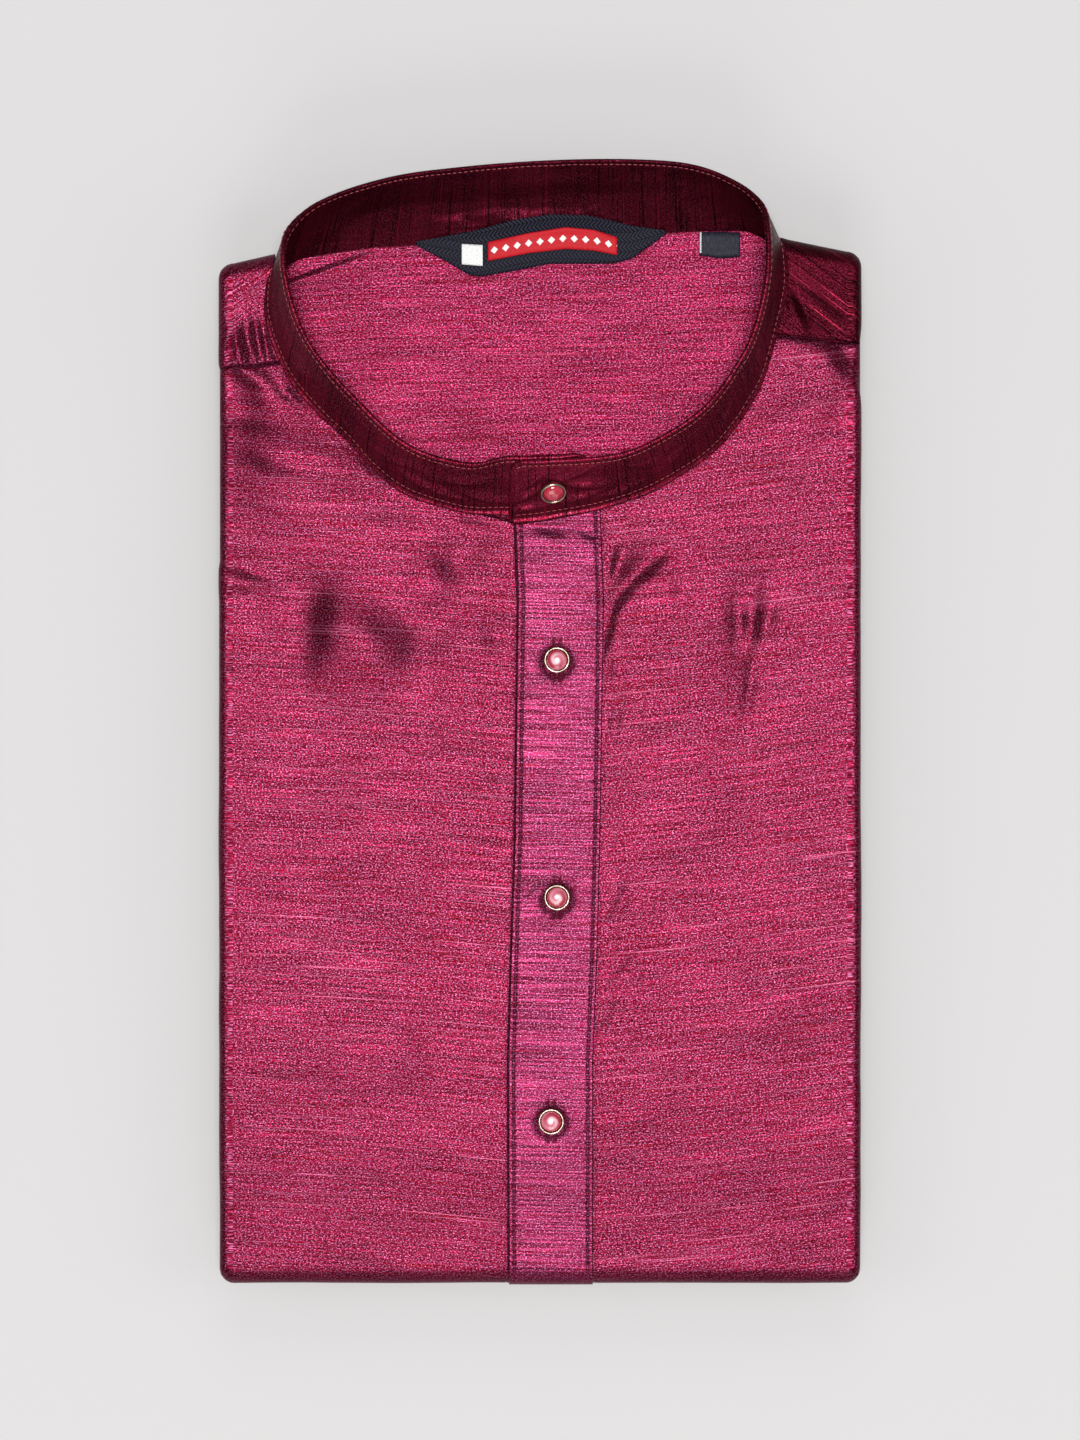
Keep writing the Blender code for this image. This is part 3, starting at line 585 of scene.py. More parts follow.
def cut_area(low, high, start, end):
    """Flat area of a cut between two edges, in square metres."""
    x = np.linspace(start, end, 400)
    return float(np.mean(high(x) - low(x))) * (end - start) * MM * MM


def set_inputs(tree, made, inputs):
    """Inputs of a node set or linked, by name or number."""
    for key, value in inputs.items():
        if isinstance(value, bpy.types.NodeSocket):
            tree.links.new(value, made.inputs[key])
        else:
            made.inputs[key].default_value = value


def node(tree, kind, settings=None, inputs=None):
    """A new shader node with its settings and inputs."""
    made = tree.nodes.new(kind)
    for key, value in (settings or {}).items():
        setattr(made, key, value)
    set_inputs(tree, made, inputs or {})
    return made


def in_millimetres(tree, vector):
    made = node(tree, "ShaderNodeVectorMath", {"operation": "SCALE"}, {0: vector, "Scale": 1 / MM})
    return made.outputs[0]


def cloth_place(tree):
    """The piece's own cloth coordinates, in metres."""
    return node(tree, "ShaderNodeUVMap", {"uv_map": "cloth"}).outputs[0]


def parts_of(tree, vector):
    return node(tree, "ShaderNodeSeparateXYZ", {}, {0: vector}).outputs


def math_node(tree, operation, a, b=0.0, c=0.0):
    return node(tree, "ShaderNodeMath", {"operation": operation}, {0: a, 1: b, 2: c}).outputs[0]


def ranged(tree, value, low, high, to_low=0.0, to_high=1.0):
    made = node(
        tree,
        "ShaderNodeMapRange",
        {"interpolation_type": "SMOOTHSTEP"},
        {"Value": value, "From Min": low, "From Max": high, "To Min": to_low, "To Max": to_high},
    )
    return made.outputs["Result"]


def noise_node(tree, vector, size, detail=2.0, roughness=0.5):
    """Noise whose cell has this size on each axis, in millimetres."""
    scaled = node(tree, "ShaderNodeVectorMath", {"operation": "DIVIDE"}, {0: vector, 1: size})
    made = node(
        tree,
        "ShaderNodeTexNoise",
        {},
        {"Vector": scaled.outputs[0], "Scale": 1.0, "Detail": detail, "Roughness": roughness},
    )
    return made.outputs["Fac"]


def new_group(name, inputs, outputs):
    group = bpy.data.node_groups.new(name, "ShaderNodeTree")
    for label, kind, default in inputs:
        socket = group.interface.new_socket(name=label, in_out="INPUT", socket_type=kind)
        if default is not None:
            socket.default_value = default
    for label, kind in outputs:
        group.interface.new_socket(name=label, in_out="OUTPUT", socket_type=kind)
    return group, group.nodes.new("NodeGroupInput"), group.nodes.new("NodeGroupOutput")


def make_yarn_group():
    """Dupion yarns: speckled weave, fine weft lines, long thick yarns, dark and bright, and a mask for
    painted glints.
    """
    number = "NodeSocketFloat"
    group, given, result = new_group(
        "dupion_yarns",
        (
            ("Cloth", "NodeSocketVector", None),
            ("Speckle", number, 1.0),
            ("Mottling", number, 0.18),
            ("Thick yarns", number, 1.0),
        ),
        [(label, number) for label in ("Tone", "Dark yarn", "Bright yarn", "Glint", "Height")],
    )
    speckled, thick = given.outputs["Speckle"], given.outputs["Thick yarns"]
    cloth = in_millimetres(group, given.outputs["Cloth"])
    shift = {0: cloth, 1: (317.0, 91.0, 4.0)}
    aside = node(group, "ShaderNodeVectorMath", {"operation": "ADD"}, shift).outputs[0]

    def yarns(place, along, across, detail, low, high, roughness=0.5):
        return ranged(group, noise_node(group, place, (along, across, 1.0), detail, roughness), low, high)

    def count(operation, a, b, c=0.0):
        return math_node(group, operation, a, b, c)

    speckle = yarns(cloth, 0.70, 0.50, 1.0, 0.42, 0.58, 0.6)
    weft = yarns(cloth, 34.0, 0.55, 1.5, 0.36, 0.64)
    broad = yarns(cloth, 42.0, 17.0, 2.0, 0.30, 0.70)
    dark = count("MULTIPLY", yarns(cloth, 48.0, 0.80, 2.0, 0.59, 0.66), thick)
    bright = count("MULTIPLY", yarns(aside, 70.0, 0.60, 2.0, 0.63, 0.68), thick)
    glint = yarns(aside, 0.60, 0.45, 0.0, 0.56, 0.68)
    tone = count("MULTIPLY", speckle, speckled)
    tone = count("MULTIPLY_ADD", weft, count("SUBTRACT", 1.6, speckled), tone)
    tone = count("MULTIPLY_ADD", broad, given.outputs["Mottling"], tone)
    tone = count("MULTIPLY", tone, 0.57)
    height = count("MULTIPLY", speckle, 0.5)
    for yarn, share in ((weft, 0.5), (bright, 1.0), (dark, 0.8)):
        height = count("MULTIPLY_ADD", yarn, share, height)
    made = {"Tone": tone, "Dark yarn": dark, "Bright yarn": bright, "Glint": glint, "Height": height}
    set_inputs(group, result, made)
    return group


YARNS = make_yarn_group()


def new_material(name):
    made = bpy.data.materials.new(name)
    made.use_nodes = True
    return made, made.node_tree, made.node_tree.nodes["Principled BSDF"]


def mix_colour(tree, factor, a, b):
    a, b = ((*value, 1.0) if isinstance(value, tuple) else value for value in (a, b))
    return node(tree, "ShaderNodeMix", {"data_type": "RGBA"}, {0: factor, 6: a, 7: b}).outputs[2]


def finish_shader(tree, shader, colour, roughness, gloss, height, strength, depth, metallic=0.0):
    """The values of a woven surface, and its relief as a bump of this strength and depth in metres."""
    values = {"Base Color": colour, "Roughness": roughness, "Metallic": metallic}
    bump = node(tree, "ShaderNodeBump", {}, {"Strength": strength, "Distance": depth, "Height": height})
    values |= {"Specular IOR Level": gloss, "Normal": bump.outputs[0]}
    set_inputs(tree, shader, values)


TILT_SHADE = 0.5  # how far painted shade darkens the silk where it tilts from the level


TILTED = (0.955, 0.993)  # upward part of the normal where the painted shade is complete, and where it begins
BACK_SHADE_Y = (0.135, 0.180)  # the band's painted shade at the back of the neck begins and is complete here
SILK_GLOSS = 0.02
THREAD_GLOSS = 0.12


def silk(
    name,
    low,
    high,
    deep,
    lit,
    glint,
    metallic=0.4,
    roughness=0.34,
    mottling=0.18,
    thick=1.0,
    relief=0.00008,
    speckle=1.0,
    back_shade=0.0,
):
    """Dupion silk: two yarn tones, dark and bright thick yarns, painted glints and the metal-like gloss of
    its floats, with painted shade where the cloth tilts from the level and, when back_shade is given,
    behind the neck.
    """
    made, tree, shader = new_material(name)
    given = {"Cloth": cloth_place(tree), "Mottling": mottling, "Thick yarns": thick, "Speckle": speckle}
    yarns = node(tree, "ShaderNodeGroup", {"node_tree": YARNS}, given).outputs
    colour = mix_colour(tree, yarns["Tone"], low, high)
    # The glint tint is a painted highlight: small lilac sparkles of light in the colour.
    tints = (("Dark yarn", 0.8, deep), ("Bright yarn", 0.62, lit), ("Glint", 0.65, glint))
    for label, share, tint in tints:
        colour = mix_colour(tree, math_node(tree, "MULTIPLY", yarns[label], share), colour, tint)
    # Painted shade: where the normal tilts from the level, the colour goes towards a dark copy of the low
    # tone.
    level = parts_of(tree, node(tree, "ShaderNodeNewGeometry").outputs["Normal"])[2]
    tilt_shade_colour = tuple(0.35 * value for value in low)
    colour = mix_colour(tree, ranged(tree, level, *TILTED, TILT_SHADE, 0.0), colour, tilt_shade_colour)
    # Painted shade on the band towards the back of the neck.
    if back_shade:
        towards_back = parts_of(tree, node(tree, "ShaderNodeTexCoord").outputs["Object"])[1]
        shade = ranged(tree, towards_back, *BACK_SHADE_Y, 0.0, back_shade)
        colour = mix_colour(tree, shade, colour, low)
    rough = ranged(tree, yarns["Tone"], 0.0, 1.0, roughness + 0.08, roughness - 0.06)
    finish_shader(tree, shader, colour, rough, SILK_GLOSS, yarns["Height"], 0.7, relief, metallic)
    return made


SILK = silk(
    "magenta_dupion_silk",
    low=(0.024, 0.0002, 0.0010),
    high=(0.238, 0.0086, 0.0415),
    deep=(0.16, 0.0008, 0.006),
    lit=(0.52, 0.095, 0.190),
    glint=(0.42, 0.128, 0.265),
)
SILK_PLACKET = silk(
    "silk_on_placket",
    low=(0.045, 0.0006, 0.0040),
    high=(0.278, 0.0190, 0.076),
    deep=(0.17, 0.0008, 0.006),
    lit=(0.44, 0.055, 0.135),
    glint=(0.42, 0.150, 0.310),
    speckle=0.5,
)
SILK_INSIDE = silk(
    "silk_wrong_side",
    low=(0.030, 0.0002, 0.0015),
    high=(0.286, 0.0104, 0.053),
    deep=(0.17, 0.0008, 0.006),
    lit=(0.50, 0.050, 0.110),
    glint=(0.46, 0.128, 0.272),
    roughness=0.38,
)
# The band's silk is more mottled and has thicker yarns than the fronts'; its far darker low and deep tones
# are painted shade of a band tilted from the overhead light.
SILK_BAND_SHADED = silk(
    "stiff_band_silk_shaded",
    low=(0.0030, 0.0002, 0.0006),
    high=(0.280, 0.0115, 0.037),
    deep=(0.035, 0.0012, 0.0045),
    lit=(0.62, 0.018, 0.060),
    glint=(0.39, 0.058, 0.135),
    metallic=0.5,
    mottling=0.8,
    thick=1.6,
    relief=0.00014,
    speckle=1.15,
    back_shade=0.62,
)
# The right yoke's silk, cut on the bias: a far darker copy of the silk, painted shade for the dimmer sheen
# of its slanted grain under the overhead light.
SILK_BIAS_SHADED = silk(
    "bias_silk_shaded",
    low=(0.004, 0.0002, 0.0008),
    high=(0.078, 0.0025, 0.009),
    deep=(0.005, 0.0002, 0.0005),
    lit=(0.55, 0.028, 0.080),
    glint=(0.15, 0.016, 0.04),
    metallic=0.5,
    roughness=0.40,
    mottling=0.5,
    thick=1.6,
    relief=0.00012,
)


def plain_weave(name, low, high, size, roughness, metallic=0.0):
    """A small woven or twisted finish: noise in two tones, longer along the first cloth direction."""
    made, tree, shader = new_material(name)
    cloth = in_millimetres(tree, cloth_place(tree))
    grain = ranged(tree, noise_node(tree, cloth, size, 2.0, 0.6), 0.3, 0.7)
    colour = mix_colour(tree, grain, low, high)
    finish_shader(tree, shader, colour, roughness, THREAD_GLOSS, grain, 0.6, 0.0001, metallic)
    return made


TWIST = (0.5, 0.3, 1.0)
THREAD_PINK = plain_weave("sewing_thread", (0.16, 0.006, 0.03), (0.48, 0.05, 0.12), TWIST, 0.4, 0.5)
THREAD_BAND = plain_weave("band_thread", (0.22, 0.035, 0.045), (0.60, 0.15, 0.16), TWIST, 0.5, 0.3)
THREAD_HOLE = plain_weave("buttonhole_thread", (0.05, 0.002, 0.008), (0.24, 0.012, 0.04), TWIST, 0.45, 0.3)
THREAD_RED = plain_weave("neck_seam_thread", (0.22, 0.008, 0.03), (0.52, 0.06, 0.12), TWIST, 0.45, 0.3)


def puckers(distance, away):
    """Small swellings between the needle holes of a row, dying out to its sides."""
    beat = np.cos(2 * math.pi * distance / STITCH_PITCH)
    return PUCKER * beat * bell(away, PUCKER_HALF) - GROOVE * bell(away, GROOVE_HALF) * (1 - 0.6 * beat)


def placket_sides(y):
    """The placket's free edge, and its stitched edge."""
    return read_table(y, PLACKET_EDGES, 1), read_table(y, PLACKET_EDGES, 2)


def front_face(x, y):
    """Creases of the fronts, which dip a little right beside the placket's edges."""
    free, stitched = placket_sides(y)
    away = np.minimum(np.abs(x - free), np.abs(x - stitched))
    return creases_at(x, y) - 0.15 * bell(away, 0.8)


def down_front(share, top, rows):
    return spread(share, ((0, HEM_EDGE), (rows[0], HEM_END + HEM_ROLL), (rows[1], top)))


FRONT_ROWS = (14, 230)


def add_fronts():
    def left(u, v):
        y = down_front(v, PLACKET_TOP + 0 * v, FRONT_ROWS)
        seam = placket_sides(y)[0] - UNDER_LEDGE + 2.0
        x = spread(u, ((0, -SIDE_EDGE), (12, -SIDE_CREST), (8, -SIDE_FOLD), (62, seam - 4.0), (8, seam)))
        y = down_front(v, front_top(x), FRONT_ROWS)
        return laid(x, y, front_face(x, y)), along_weft(x, y, "left")

    def right(u, v):
        start = RIGHT_FRONT_FROM + 0 * v
        x = spread(u, ((0, start), (14, 26.0), (60, SIDE_FOLD), (8, SIDE_CREST), (12, SIDE_EDGE)))
        y = down_front(v, front_top(x), FRONT_ROWS)
        seam_dip = -0.55 * bell(front_top(x) - y, 0.8) * (x > YOKE_SEAM[2][0])
        return laid(x, y, front_face(x, y) + seam_dip), along_weft(x, y, "right", 40.0)

    def hem(x):
        return HEM_EDGE + 0 * x

    rows = sum(FRONT_ROWS)
    for name, place, columns, start, end in (
        ("front_left", left, 90, -SIDE_EDGE, -8.0),
        ("front_right", right, 94, RIGHT_FRONT_FROM, SIDE_EDGE),
    ):
        piece = add_piece(name + "_cloth", grid_mesh(name, columns, rows, place), SILK, [name])
        thicken(piece, CLOTH)
        area = cut_area(hem, front_top, start, end)


def placket_lift(from_left, wide, y):
    """Height of the placket's upper layer over the fronts: rolled edges, and a row of stitches by each."""
    from_edge = np.minimum(from_left, wide - from_left)
    edge = np.sqrt(1 - (1 - np.clip(from_edge / EDGE_ROLL, 0.0, 1.0)) ** 2)
    return GAP + WALL * edge + puckers(y, from_edge - PLACKET_ROW) * (from_edge > 0.3)


def placket_place(x, y):
    """Where the placket's upper layer lies: each button sinks into it, and its buttonhole puckers."""
    start, end = placket_sides(y)
    hole = 0.0 * x
    for button_x, button_y in BUTTONS_ON_PLACKET:
        aside, along = x - button_x, y - button_y
        hole -= 0.35 * np.exp(-((aside / 0.8) ** 2) - (along / 9.0) ** 6)
        hole -= 0.9 * bell(np.hypot(aside, along + 0.8) - 3.6, 2.2)
        hole += 0.22 * np.cos(aside * 2.7) * np.exp(-((aside / 3.2) ** 2) - (along / 8.5) ** 4)
    return laid(x, y, placket_lift(x - start, end - start, y) + creases_at(x, y) * 0.9 + hole)


def add_placket():
    upper_rows, under_rows = (14, 520), (8, 130)

    def upper(u, v):
        start, end = placket_sides(down_front(v, PLACKET_TOP + 0 * v, upper_rows))
        left = ((0, start), (5, start + 0.5), (12, start + 3.6))
        right = ((24, end - 3.6), (12, end - 0.5), (5, end))
        x = spread(u, left + right)
        y = down_front(v, neck_y(x, -PLACKET_BELOW_BAND + 0.6, at_back=False), upper_rows)
        return placket_place(x, y), along_weft(x, y, "placket", 90.0)

    def under(u, v):
        y = down_front(v, PLACKET_TOP + 0 * v, under_rows)
        ledge = placket_sides(y)[0] - UNDER_LEDGE + GAP
        x = spread(u, ((0, ledge), (14, PLACKET_SEAM + 10.0 + 0 * y)))
        y = down_front(v, front_top(x), under_rows)
        return laid(x, y, front_face(x, y) + 0.18), along_weft(x, y, "placket", 140.0)

    mesh = grid_mesh("placket_upper", 58, sum(upper_rows), upper)
    piece = add_piece("placket_upper_cloth", mesh, SILK_PLACKET, ["placket_upper"])
    thicken(piece, CLOTH)
    mesh = grid_mesh("placket_under", 14, sum(under_rows), under)
    piece = add_piece("placket_under_cloth", mesh, SILK, ["placket_under"])
    thicken(piece, CLOTH)


def outside_band(y, sign):
    side = sorted((row[1], row[0]) for row in COLLAR if row[0] * sign > BAND_SIDE_FROM)
    return read_table(y, side, 1) + sign * BESIDE_BAND


def neck_fold(x):
    """Where the cloth starts to roll down at the neck end."""
    return read_table(x, NECK_LINE, 1) - NECK_ROLL


def add_yokes():
    neck_edge = NECK_ROLL * TUCK
    yoke_rows = (44, 12)

    def up_yoke(share, seam, fold):
        return spread(share, ((0, seam), (yoke_rows[0], fold), (yoke_rows[1], fold + neck_edge)))

    def shoulder(u, v, sign):
        side = sign * SIDE_FOLD
        fold = neck_fold(side)
        y = up_yoke(v, read_table(side, YOKE_SEAM, 1), fold)
        inner = outside_band(np.minimum(y, fold), sign) - sign * 1.6
        across = u if sign < 0 else 1 - u
        x = spread(across, ((0, sign * SIDE_EDGE), (10, sign * SIDE_CREST), (8, side + 0 * y), (26, inner)))
        seam = front_top(x) + YOKE_OVERLAP
        y = up_yoke(v, seam, neck_fold(x))
        edge = 0.3 if sign > 0 else 0.4
        lift = creases_at(x, y) - edge * bell(y - seam, 0.5) + puckers(x, y - seam - YOKE_ROW)
        name = "yoke_left" if sign < 0 else "yoke_right"
        return laid(x, y, lift + 0.1 + edge / 2), along_weft(x, y, name, 200.0)

    def back(u, v):
        left, right = outside_band(BACK_FROM_Y, -1) + 0.6, outside_band(BACK_FROM_Y, 1) - 0.6
        x = left + (right - left) * u
        opened = np.radians(84 - 14 * smooth_step((np.abs(x) - 55) / 30))
        turn = TUCK + (opened - TUCK) * (1 - v)
        y = neck_fold(x) + NECK_ROLL * turn
        return laid(x, y, 0.15 * rough_noise(x, y, 18.0, 6.0, 5.0)), along_weft(x, y, "inside", 260.0)

    for name, sign, material in (("yoke_left", -1, SILK), ("yoke_right", 1, SILK_BIAS_SHADED)):
        mesh = grid_mesh(name, 44, sum(yoke_rows), lambda u, v: shoulder(u, v, sign))
        piece = add_piece(name + "_cloth", mesh, material, [name])
        thicken(piece, CLOTH)
    mesh = grid_mesh("yoke_back", 120, 10, back)
    piece = add_piece("yoke_back_cloth", mesh, SILK, ["yoke_back"])
    thicken(piece, CLOTH)


INSIDE_FROM, INSIDE_TO = -94.0, 84.5
INSIDE_FOLD_LINE = (
    # x, y of the fold line by the left shoulder
    (-90.0, 155.5),
    (-59.0, 166.6),
    (-40.0, 168.0),
)


def inner_face(x, y):
    """The back's inside face: nearly flat, with a fold line by the left shoulder."""
    soft = 0.5 * rough_noise(x, y, 46.0, 30.0, 21.0) + 0.12 * rough_noise(x, y, 15.0, 9.0, 23.0)
    fade = smooth_step((neck_y(x, 0.0, at_back=True) - y) / 6.0)
    from_line = y - read_table(x, INSIDE_FOLD_LINE, 1)
    pleat = 0.5 * np.tanh(from_line / 0.5) * smooth_step((-46.0 - x) / 34.0)
    return np.stack([x, y, NECK_FLOOR + soft * fade + pleat], axis=-1)


def add_back_inner():
    def front_edge(x):
        return neck_y(x, 0.4, at_back=False)

    def back_edge(x):
        return neck_y(x, 0.1, at_back=True)

    def place(u, v):
        x = INSIDE_FROM + (INSIDE_TO - INSIDE_FROM) * u
        front = front_edge(x)
        y = front + (inside_edge(x) - front) * v
        return inner_face(x, y), along_weft(x, y, "inside", 330.0)

    mesh = grid_mesh("back_inner", 150, 90, place)
    piece = add_piece("back_inner_cloth", mesh, SILK_INSIDE, ["back_inner"])
    thicken(piece, CLOTH)
    area = cut_area(front_edge, back_edge, INSIDE_FROM, INSIDE_TO)


BAND_HALF = BAND / 2


BAND_AT_BACK = (200.0, 318.0)  # distances round the band between which its back is


def band_face(distance, height, side):
    """Points of the band's cloth at a height up it: side 1 is its outer face, -1 its inner face."""
    tall = band_height(distance)
    from_end = np.minimum(distance, BAND_LENGTH - distance)
    half = BAND_HALF * np.sqrt(np.maximum(1 - (1 - np.clip(from_end / 1.2, 0.0, 1.0)) ** 2, 0.0))
    near_top = np.clip((height - (tall - BAND_HALF)) / BAND_HALF, 0.0, 1.0)
    out = half * np.sqrt(1 - near_top**2)
    whole = (1 - near_top) * smooth_step(from_end / 2.0)
    outer, inner = side > 0, side < 0
    relief = puckers(distance, tall - height - TOP_ROW)
    relief += puckers(distance, height - LOWER_ROW) * np.where(outer, 1.0, 0.6)
    relief += np.where(outer, 0.9 * bell(height - 1.0, 0.7), 0.0)
    relief -= np.where(outer, 0.3 * bell(height - 2.5, 0.7), 0.0)
    start, end = BAND_AT_BACK
    at_back = smooth_step((distance - start) / 20.0) * smooth_step((end - distance) / 20.0)
    relief -= np.where(inner, 1.5 * at_back * bell(height - 13.0, 5.0), 0.0)
    relief += 0.35 * rough_noise(distance, height + 40 * side, 12.0, 6.0, 31.0)
    relief += 0.12 * rough_noise(distance, height + 40 * side, 3.6, 2.4, 37.0)
    for row in BAND_CREASES:
        along, across = turned_axes(distance, height, row)
        relief += np.where(outer, row[5] * np.exp(-(along**2) - across**2), 0.0)
    return band_point(distance, height, side * (out + relief * whole))


def add_collar():
    up_rows, top_rows, end_columns, columns = 58, 5, 6, 480
    up_steps = ((0, 0.0), (9, 0.10), (9, 0.24), (31, 0.86), (9, 1.0))
    end = 1.2

    def place(u, v):
        marks = ((0, 0.0), (end_columns, end), (columns, BAND_LENGTH - end), (end_columns, BAND_LENGTH))
        distance = spread(u, [(steps, at + 0 * u) for steps, at in marks])
        tall = band_height(distance)
        bend = tall - BAND_HALF
        count = 2 * (up_rows + top_rows)
        at = v * count
        side = np.where(at <= count / 2, 1.0, -1.0)
        way = np.minimum(at, count - at)
        turn = np.clip((way - up_rows) / top_rows, 0.0, 1.0) * math.pi / 2
        share = spread(np.minimum(way / up_rows, 1.0), up_steps)
        height = np.where(way <= up_rows, bend * share, bend + BAND_HALF * np.sin(turn))
        length = np.where(side > 0, height, 2 * tall - height)
        return band_face(distance, height, side), np.stack([length + 500.0, distance], axis=-1)

    mesh = grid_mesh("collar_band", columns + 2 * end_columns, 2 * (up_rows + top_rows), place, weld=True)
    piece = add_piece("collar_band_cloth", mesh, SILK_BAND_SHADED, ["collar_band"])


LEAF_LONG, LEAF_SHORT, LEAF_CORNER = 84, 52, 8  # steps along a leaf's sides, ends and corners
BELOW_NECK = 18.4  # inside the neck no leaf stands higher
NECK_SPAN = (-92, 83)


def ring_places(side, hem, neck, phase, wave):
    """One ring round a folded leaf: each argument is (height, distance back from the outline)."""
    back_neck = read_table(0.0, NECK_LINE, 1)
    half_y = (back_neck - HEM_END) / 2
    middle_y = HEM_END + half_y
    ring = []
    for sign_x, sign_y in ((1, 1), (-1, 1), (-1, -1), (1, -1)):
        end = neck if sign_y > 0 else hem
        for step in range(LEAF_CORNER + 1):
            turn = math.pi / 2 * step / LEAF_CORNER
            if sign_x != sign_y:
                turn = math.pi / 2 - turn
            sideways, endways = math.cos(turn) ** 2, math.sin(turn) ** 2
            back = side[1] * sideways + end[1] * endways
            radius = max(CORE_CORNER - back, 2.0)
            x = sign_x * (HALF_WIDTH - back - radius + radius * math.cos(turn))
            y = middle_y + sign_y * (half_y - back - radius + radius * math.sin(turn))
            ring.append((x, y, side[0] * sideways + end[0] * endways, sideways))
    whole = []
    for i, point in enumerate(ring):
        whole.append(point)
        if i % (LEAF_CORNER + 1) == LEAF_CORNER:
            following = ring[(i + 1) % len(ring)]
            parts = LEAF_LONG if abs(following[0] - point[0]) < 1 else LEAF_SHORT
            for step in range(1, parts):
                whole.append(np.array(point) + (np.array(following) - point) * step / parts)
    x, y, z, sideways = np.array(whole).T
    z = z - (FRONT_TOP - front_level(y)) * np.minimum(z / LAYER_DROOP_FROM, 1.0) * sideways
    moved = y + (read_table(x, NECK_LINE, 1) - back_neck) * smooth_step((y - 60) / 90)
    uneven = 0.45 * np.sin(0.045 * (x - y) + phase) + wave * rough_noise(x, y, 17.0, 17.0, phase)
    pull = 1 - uneven / HALF_WIDTH
    z = z + 0.16 * rough_noise(x, y, 24.0, 24.0, phase + 40) * np.minimum(z / 1.5, 1.0)
    beside = (x > NECK_SPAN[0]) & (x < NECK_SPAN[1])
    in_neck = smooth_step((moved - neck_y(x, 1.0, at_back=False)) / 2.5) * beside
    z = z - np.maximum(z - BELOW_NECK, 0.0) * in_neck
    return np.stack([x * pull, moved * pull, z], axis=-1)


LEAF_INNER = 26.0  # a leaf of folded cloth is made this far in from its edge
PLY_DEPTH = 5.0  # its two plies part this far in


PLY_TURNS = (-90, -68, -46, -24, -2, 20, 42, 66, 88)  # degrees round the edge of a ply
LEAF_MIDDLE = 80.0  # the lowest leaf is made this far in


def leaf_profile(low, high, back, whole_bottom):
    """(height, distance back) from the inner edge below, round two folded plies, to the one above."""
    half = (high - low) / 4
    flat = (back + LEAF_INNER, back + 9.0, back + 3.5)
    rows = [(low, LEAF_MIDDLE)] if whole_bottom else []
    rows += [(low, place) for place in flat]
    for centre in (low + half, high - half):
        for degrees in PLY_TURNS:
            turn = math.radians(degrees)
            rows.append((centre + half * math.sin(turn), back + min(half, 1.2) * (1 - math.cos(turn))))
        if centre == low + half:
            middle = (low + high) / 2
            rows += [(middle - 0.06, back + 2.2), (middle, back + PLY_DEPTH), (middle + 0.06, back + 2.2)]
    return rows + [(high, place) for place in reversed(flat)]


def add_leaves():
    """The hidden layers: leaves of folded cloth on each other, open in the middle, where nothing shows."""
    for number, layer in enumerate(LAYERS, start=1):
        bottom = number == 1
        profiles = [leaf_profile(*layer[i : i + 3], bottom) for i in (0, 3, 6)]
        rings = [ring_places(*rows, 1.7 * number, 0.5) for rows in zip(*profiles)]
        closed = np.array([np.vstack([ring, ring[:1]]) for ring in rings])
        rows, columns = len(closed) - 1, closed.shape[1] - 1

        def place(u, v):
            points = closed[np.rint(v * rows).astype(int), np.rint(u * columns).astype(int)]
            x, y, z = points.T
            return points, np.stack([x + 0.3 * z + 400 * number, y + 2.2 * z], axis=-1)

        mesh = grid_mesh("folded_leaf", columns, rows, place, weld=True, fill_below=bottom)
        piece = add_piece(f"folded_leaf_{number}", mesh, SILK_LEAF, ["folded_layers"])


SILK_LEAF = silk(
    "silk_in_the_folds",
    low=(0.045, 0.0014, 0.008),
    high=(0.40, 0.0150, 0.080),
    deep=(0.20, 0.0010, 0.007),
    lit=(0.50, 0.045, 0.11),
    glint=(0.44, 0.080, 0.20),
    roughness=0.42,
)


def tape_material():
    """Navy herringbone: ribs along the tape, whose threads lean one way and then the other."""
    made, tree, shader = new_material("navy_herringbone_tape")
    along, across = parts_of(tree, in_millimetres(tree, cloth_place(tree)))[:2]
    rib = math_node(tree, "PINGPONG", across, 1.7)
    thread = math_node(tree, "PINGPONG", math_node(tree, "ADD", rib, along), 0.72)
    tone = math_node(tree, "MULTIPLY", ranged(tree, thread, 0.12, 0.6), ranged(tree, rib, 0.0, 0.2))
    colour = mix_colour(tree, tone, (0.0010, 0.0010, 0.0020), (0.022, 0.022, 0.042))
    finish_shader(tree, shader, colour, 0.5, 0.1, tone, 0.5, 0.0002)
    return made


def marked_weave(name, ground, mark, spacing, reach, centre, roughness):
    """A woven piece with a row of small plain diamonds along its middle."""
    made, tree, shader = new_material(name)
    cloth = in_millimetres(tree, cloth_place(tree))
    along, across = parts_of(tree, cloth)[:2]
    step = math_node(tree, "PINGPONG", along, spacing / 2)
    aside = math_node(tree, "ABSOLUTE", math_node(tree, "SUBTRACT", across, centre))
    diamond = ranged(tree, math_node(tree, "ADD", step, aside), reach, reach + 0.25, 1.0, 0.0)
    weave = ranged(tree, noise_node(tree, cloth, (0.9, 0.3, 1.0), 1.0), 0.3, 0.7, 0.78, 1.12)
    colour = mix_colour(tree, diamond, ground, mark)
    tint = node(tree, "ShaderNodeVectorMath", {"operation": "SCALE"}, {0: colour, "Scale": weave})
    height = math_node(tree, "MULTIPLY_ADD", weave, 0.4, diamond)
    finish_shader(tree, shader, tint.outputs[0], roughness, THREAD_GLOSS, height, 0.5, 0.00012)
    return made


LABEL = 1.0  # height of a label's face over the cloth below it


